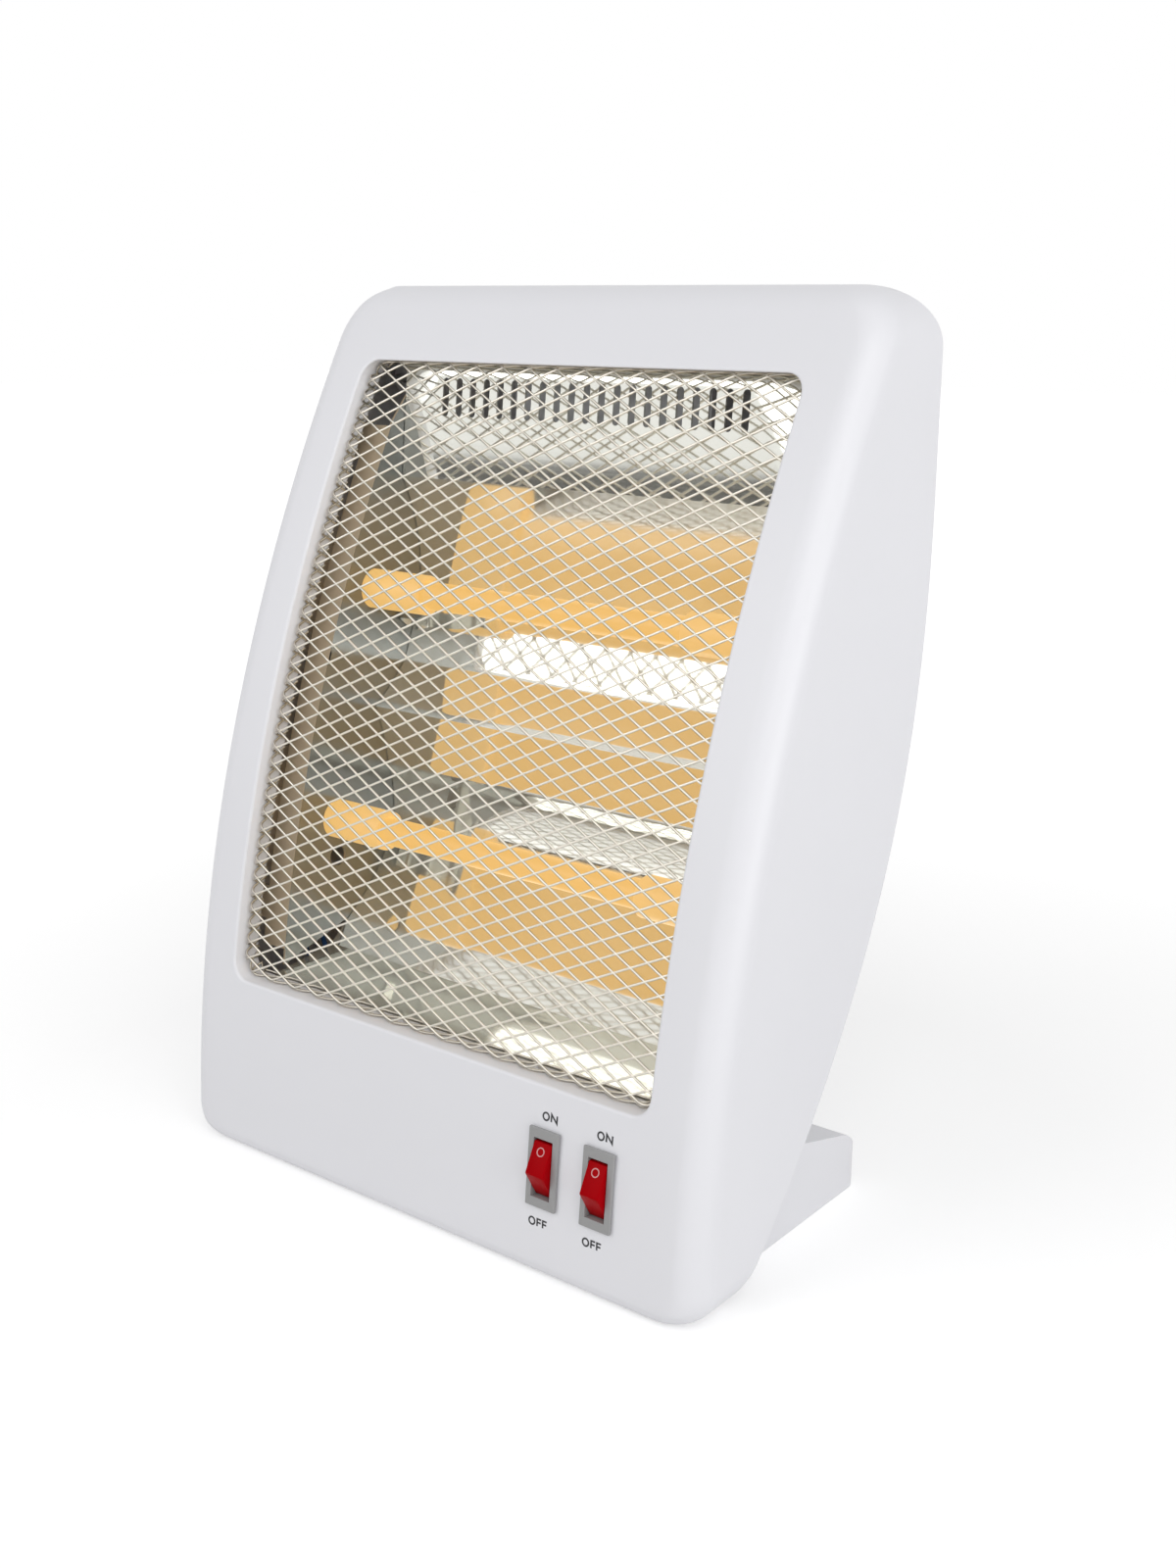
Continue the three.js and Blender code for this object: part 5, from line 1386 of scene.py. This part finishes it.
# ----------------------------------------------------------------- inner parts
class HEATER_OT_inner_parts(bpy.types.Operator):
    """Gives the carried-over inner parts their finishes"""

    bl_idname = "heater.inner_parts"
    bl_label = "Inner parts"

    def execute(self, context):
        finishes = {
            "heating_wire": metal("hot heating wire", linear(217, 138, 58), (0.4, 0.55)),
            "spring_steel": spring_steel(),
            "brass": metal("blade brass", linear(200, 168, 98), (0.25, 0.4)),
            "black_plastic": plastic("black moulded plastic", (0.02, 0.02, 0.021), (0.4, 0.55), 0.1),
            "natural_nylon": plastic("natural nylon", linear(222, 220, 206), (0.4, 0.5), 0.03),
            "lead_brown": plastic("brown lead sleeve", linear(112, 70, 44), (0.45, 0.6), 0.08),
            "lead_blue": plastic("blue lead sleeve", linear(48, 96, 158), (0.45, 0.6), 0.08),
        }
        for entry in frame["record"]["subparts"]:
            obj = frame["nodes"][entry["node"]]
            if obj.hide_render or entry["material_slot"] not in finishes:
                continue
            obj.data.materials.clear()
            obj.data.materials.append(finishes[entry["material_slot"]])
        done = set(finishes.values())
        bare = [o.name for o in frame["nodes"].values()
                if not o.hide_render and o.active_material not in done]
        if bare:
            raise RuntimeError(f"no finish for {bare}")
        return {"FINISHED"}


# ----------------------------------------------------------------------- stage
def lamp(name, place, size, power):
    data = bpy.data.lights.new(name, "AREA")
    data.shape = "RECTANGLE"
    data.size, data.size_y = size
    data.energy = power
    obj = bpy.data.objects.new(name, data)
    obj.location = place
    obj.rotation_euler = (Vector(LAMP_TARGET) - Vector(place)).to_track_quat("-Z", "Y").to_euler()
    bpy.context.scene.collection.objects.link(obj)


def seen_directly(tree):
    """1 where a ray comes from the camera, a mirror or glass."""
    path = tree.nodes.new("ShaderNodeLightPath")
    seen = calc(tree, "MAXIMUM", path.outputs["Is Camera Ray"], path.outputs["Is Glossy Ray"])
    return calc(tree, "MAXIMUM", seen, path.outputs["Is Transmission Ray"])


def matte(name, value):
    """A dull, even surface of the stage, with the parts that its shader is built from."""
    material, tree, principled, place = shader(name)
    principled.inputs["Base Color"].default_value = (value, value, value, 1)
    principled.inputs["Roughness"].default_value = 0.9
    principled.inputs["Specular IOR Level"].default_value = 0.0
    return material, tree, principled, place


def sky():
    """An even world, dimmer as light on the heater than where it is seen."""
    world = bpy.data.worlds.new("studio")
    world.use_nodes = True
    tree = world.node_tree
    background = tree.nodes["Background"]
    background.inputs["Color"].default_value = (1, 1, 1, 1)
    strength = node(tree, "ShaderNodeMix", {0: seen_directly(tree), 2: SKY_LIGHT, 3: SKY_SEEN},
                    data_type="FLOAT")
    put(background.inputs["Strength"], strength.outputs[0])
    return world


def floor_finish():
    """A pale floor that keeps the heater's shadow and turns whiter away from it."""
    material, tree, principled, place = matte("pale floor", 0.8)
    principled.inputs["Emission Color"].default_value = (1, 1, 1, 1)
    away = node(tree, "ShaderNodeVectorMath", {0: place}, operation="LENGTH").outputs["Value"]
    level = node(tree, "ShaderNodeMapRange", {
        "Value": away, "From Min": 0.25, "From Max": 1.2, "To Min": 0.4, "To Max": 0.75}).outputs[0]
    put(principled.inputs["Emission Strength"], calc(tree, "MULTIPLY", seen_directly(tree), level))
    return material


def stage_sheet(name, corners, material):
    obj = build(name, (corners, [(0, 1, 2, 3)]))
    obj.data.materials.append(material)
    return obj


def photo_camera():
    data = bpy.data.cameras.new("camera")
    data.lens = CAMERA_LENS
    data.sensor_width = CAMERA_SENSOR
    camera = bpy.data.objects.new("camera", data)
    bpy.context.scene.collection.objects.link(camera)
    azimuth, pitch = math.radians(CAMERA_AZIMUTH), math.radians(CAMERA_PITCH)
    ahead = Vector((-math.sin(azimuth) * math.cos(pitch), math.cos(azimuth) * math.cos(pitch),
                    -math.sin(pitch)))
    right = Vector((math.cos(azimuth), math.sin(azimuth), 0))
    up = right.cross(ahead)
    x, y, z = CAMERA_PLACE
    camera.matrix_world = Matrix.Translation((x * MM, (y - ORIGIN_Y) * MM, z * MM)) @ Matrix(
        (right, up, -ahead)).transposed().to_4x4()
    return camera


class HEATER_OT_stage(bpy.types.Operator):
    """Sets the pale floor, the soft light and the camera"""

    bl_idname = "heater.stage"
    bl_label = "Stage"

    def execute(self, context):
        scene = context.scene
        scene.view_settings.view_transform = "Standard"
        scene.world = sky()
        half = FLOOR_HALF
        stage_sheet("floor", [(-half, -half, FLOOR_Z), (half, -half, FLOOR_Z), (half, half, FLOOR_Z),
                              (-half, half, FLOOR_Z)], floor_finish())
        for name, place, size, power in LAMPS:
            lamp(name, place, size, power)
        (x0, x1), (z0, z1) = CARD_X, CARD_Z
        card = stage_sheet("dark card", [(x0, CARD_Y, z0), (x1, CARD_Y, z0), (x1, CARD_Y, z1),
                                         (x0, CARD_Y, z1)], matte("dark card", 0.03)[0])
        card.visible_camera = False
        card.visible_diffuse = False
        card.visible_shadow = False
        card.visible_transmission = False
        scene.camera = photo_camera()
        return {"FINISHED"}


# ----------------------------------------------------------------------- panel
OPERATORS = (
    HEATER_OT_front_housing,
    HEATER_OT_guard,
    HEATER_OT_reflector,
    HEATER_OT_tubes,
    HEATER_OT_rear_cover,
    HEATER_OT_stand_foot,
    HEATER_OT_switches,
    HEATER_OT_switch_labels,
    HEATER_OT_screws,
    HEATER_OT_inner_parts,
    HEATER_OT_stage,
)


class HEATER_PT_build(bpy.types.Panel):
    """Lists the steps that build the heater"""

    bl_label = "Heater"
    bl_idname = "HEATER_PT_build"
    bl_space_type = "VIEW_3D"
    bl_region_type = "UI"
    bl_category = "Heater"

    def draw(self, context):
        for operator in OPERATORS:
            self.layout.operator(operator.bl_idname)
        for group in (context.scene.heater_sizes, context.scene.heater_colours):
            for name in group.__annotations__:
                self.layout.prop(group, name)


CLASSES = (HeaterSizes, HeaterColours) + OPERATORS + (HEATER_PT_build,)


def register():
    for cls in CLASSES:
        bpy.utils.register_class(cls)
    bpy.types.Scene.heater_sizes = PointerProperty(type=HeaterSizes)
    bpy.types.Scene.heater_colours = PointerProperty(type=HeaterColours)


def unregister():
    del bpy.types.Scene.heater_colours
    del bpy.types.Scene.heater_sizes
    for cls in reversed(CLASSES):
        bpy.utils.unregister_class(cls)


def main():
    register()
    for operator in OPERATORS:
        step = operator.bl_idname.split(".")[1]
        result = getattr(bpy.ops.heater, step)()
        if result != {"FINISHED"}:
            raise RuntimeError(f"{step} didn't finish")


if __name__ == "__main__":
    main()
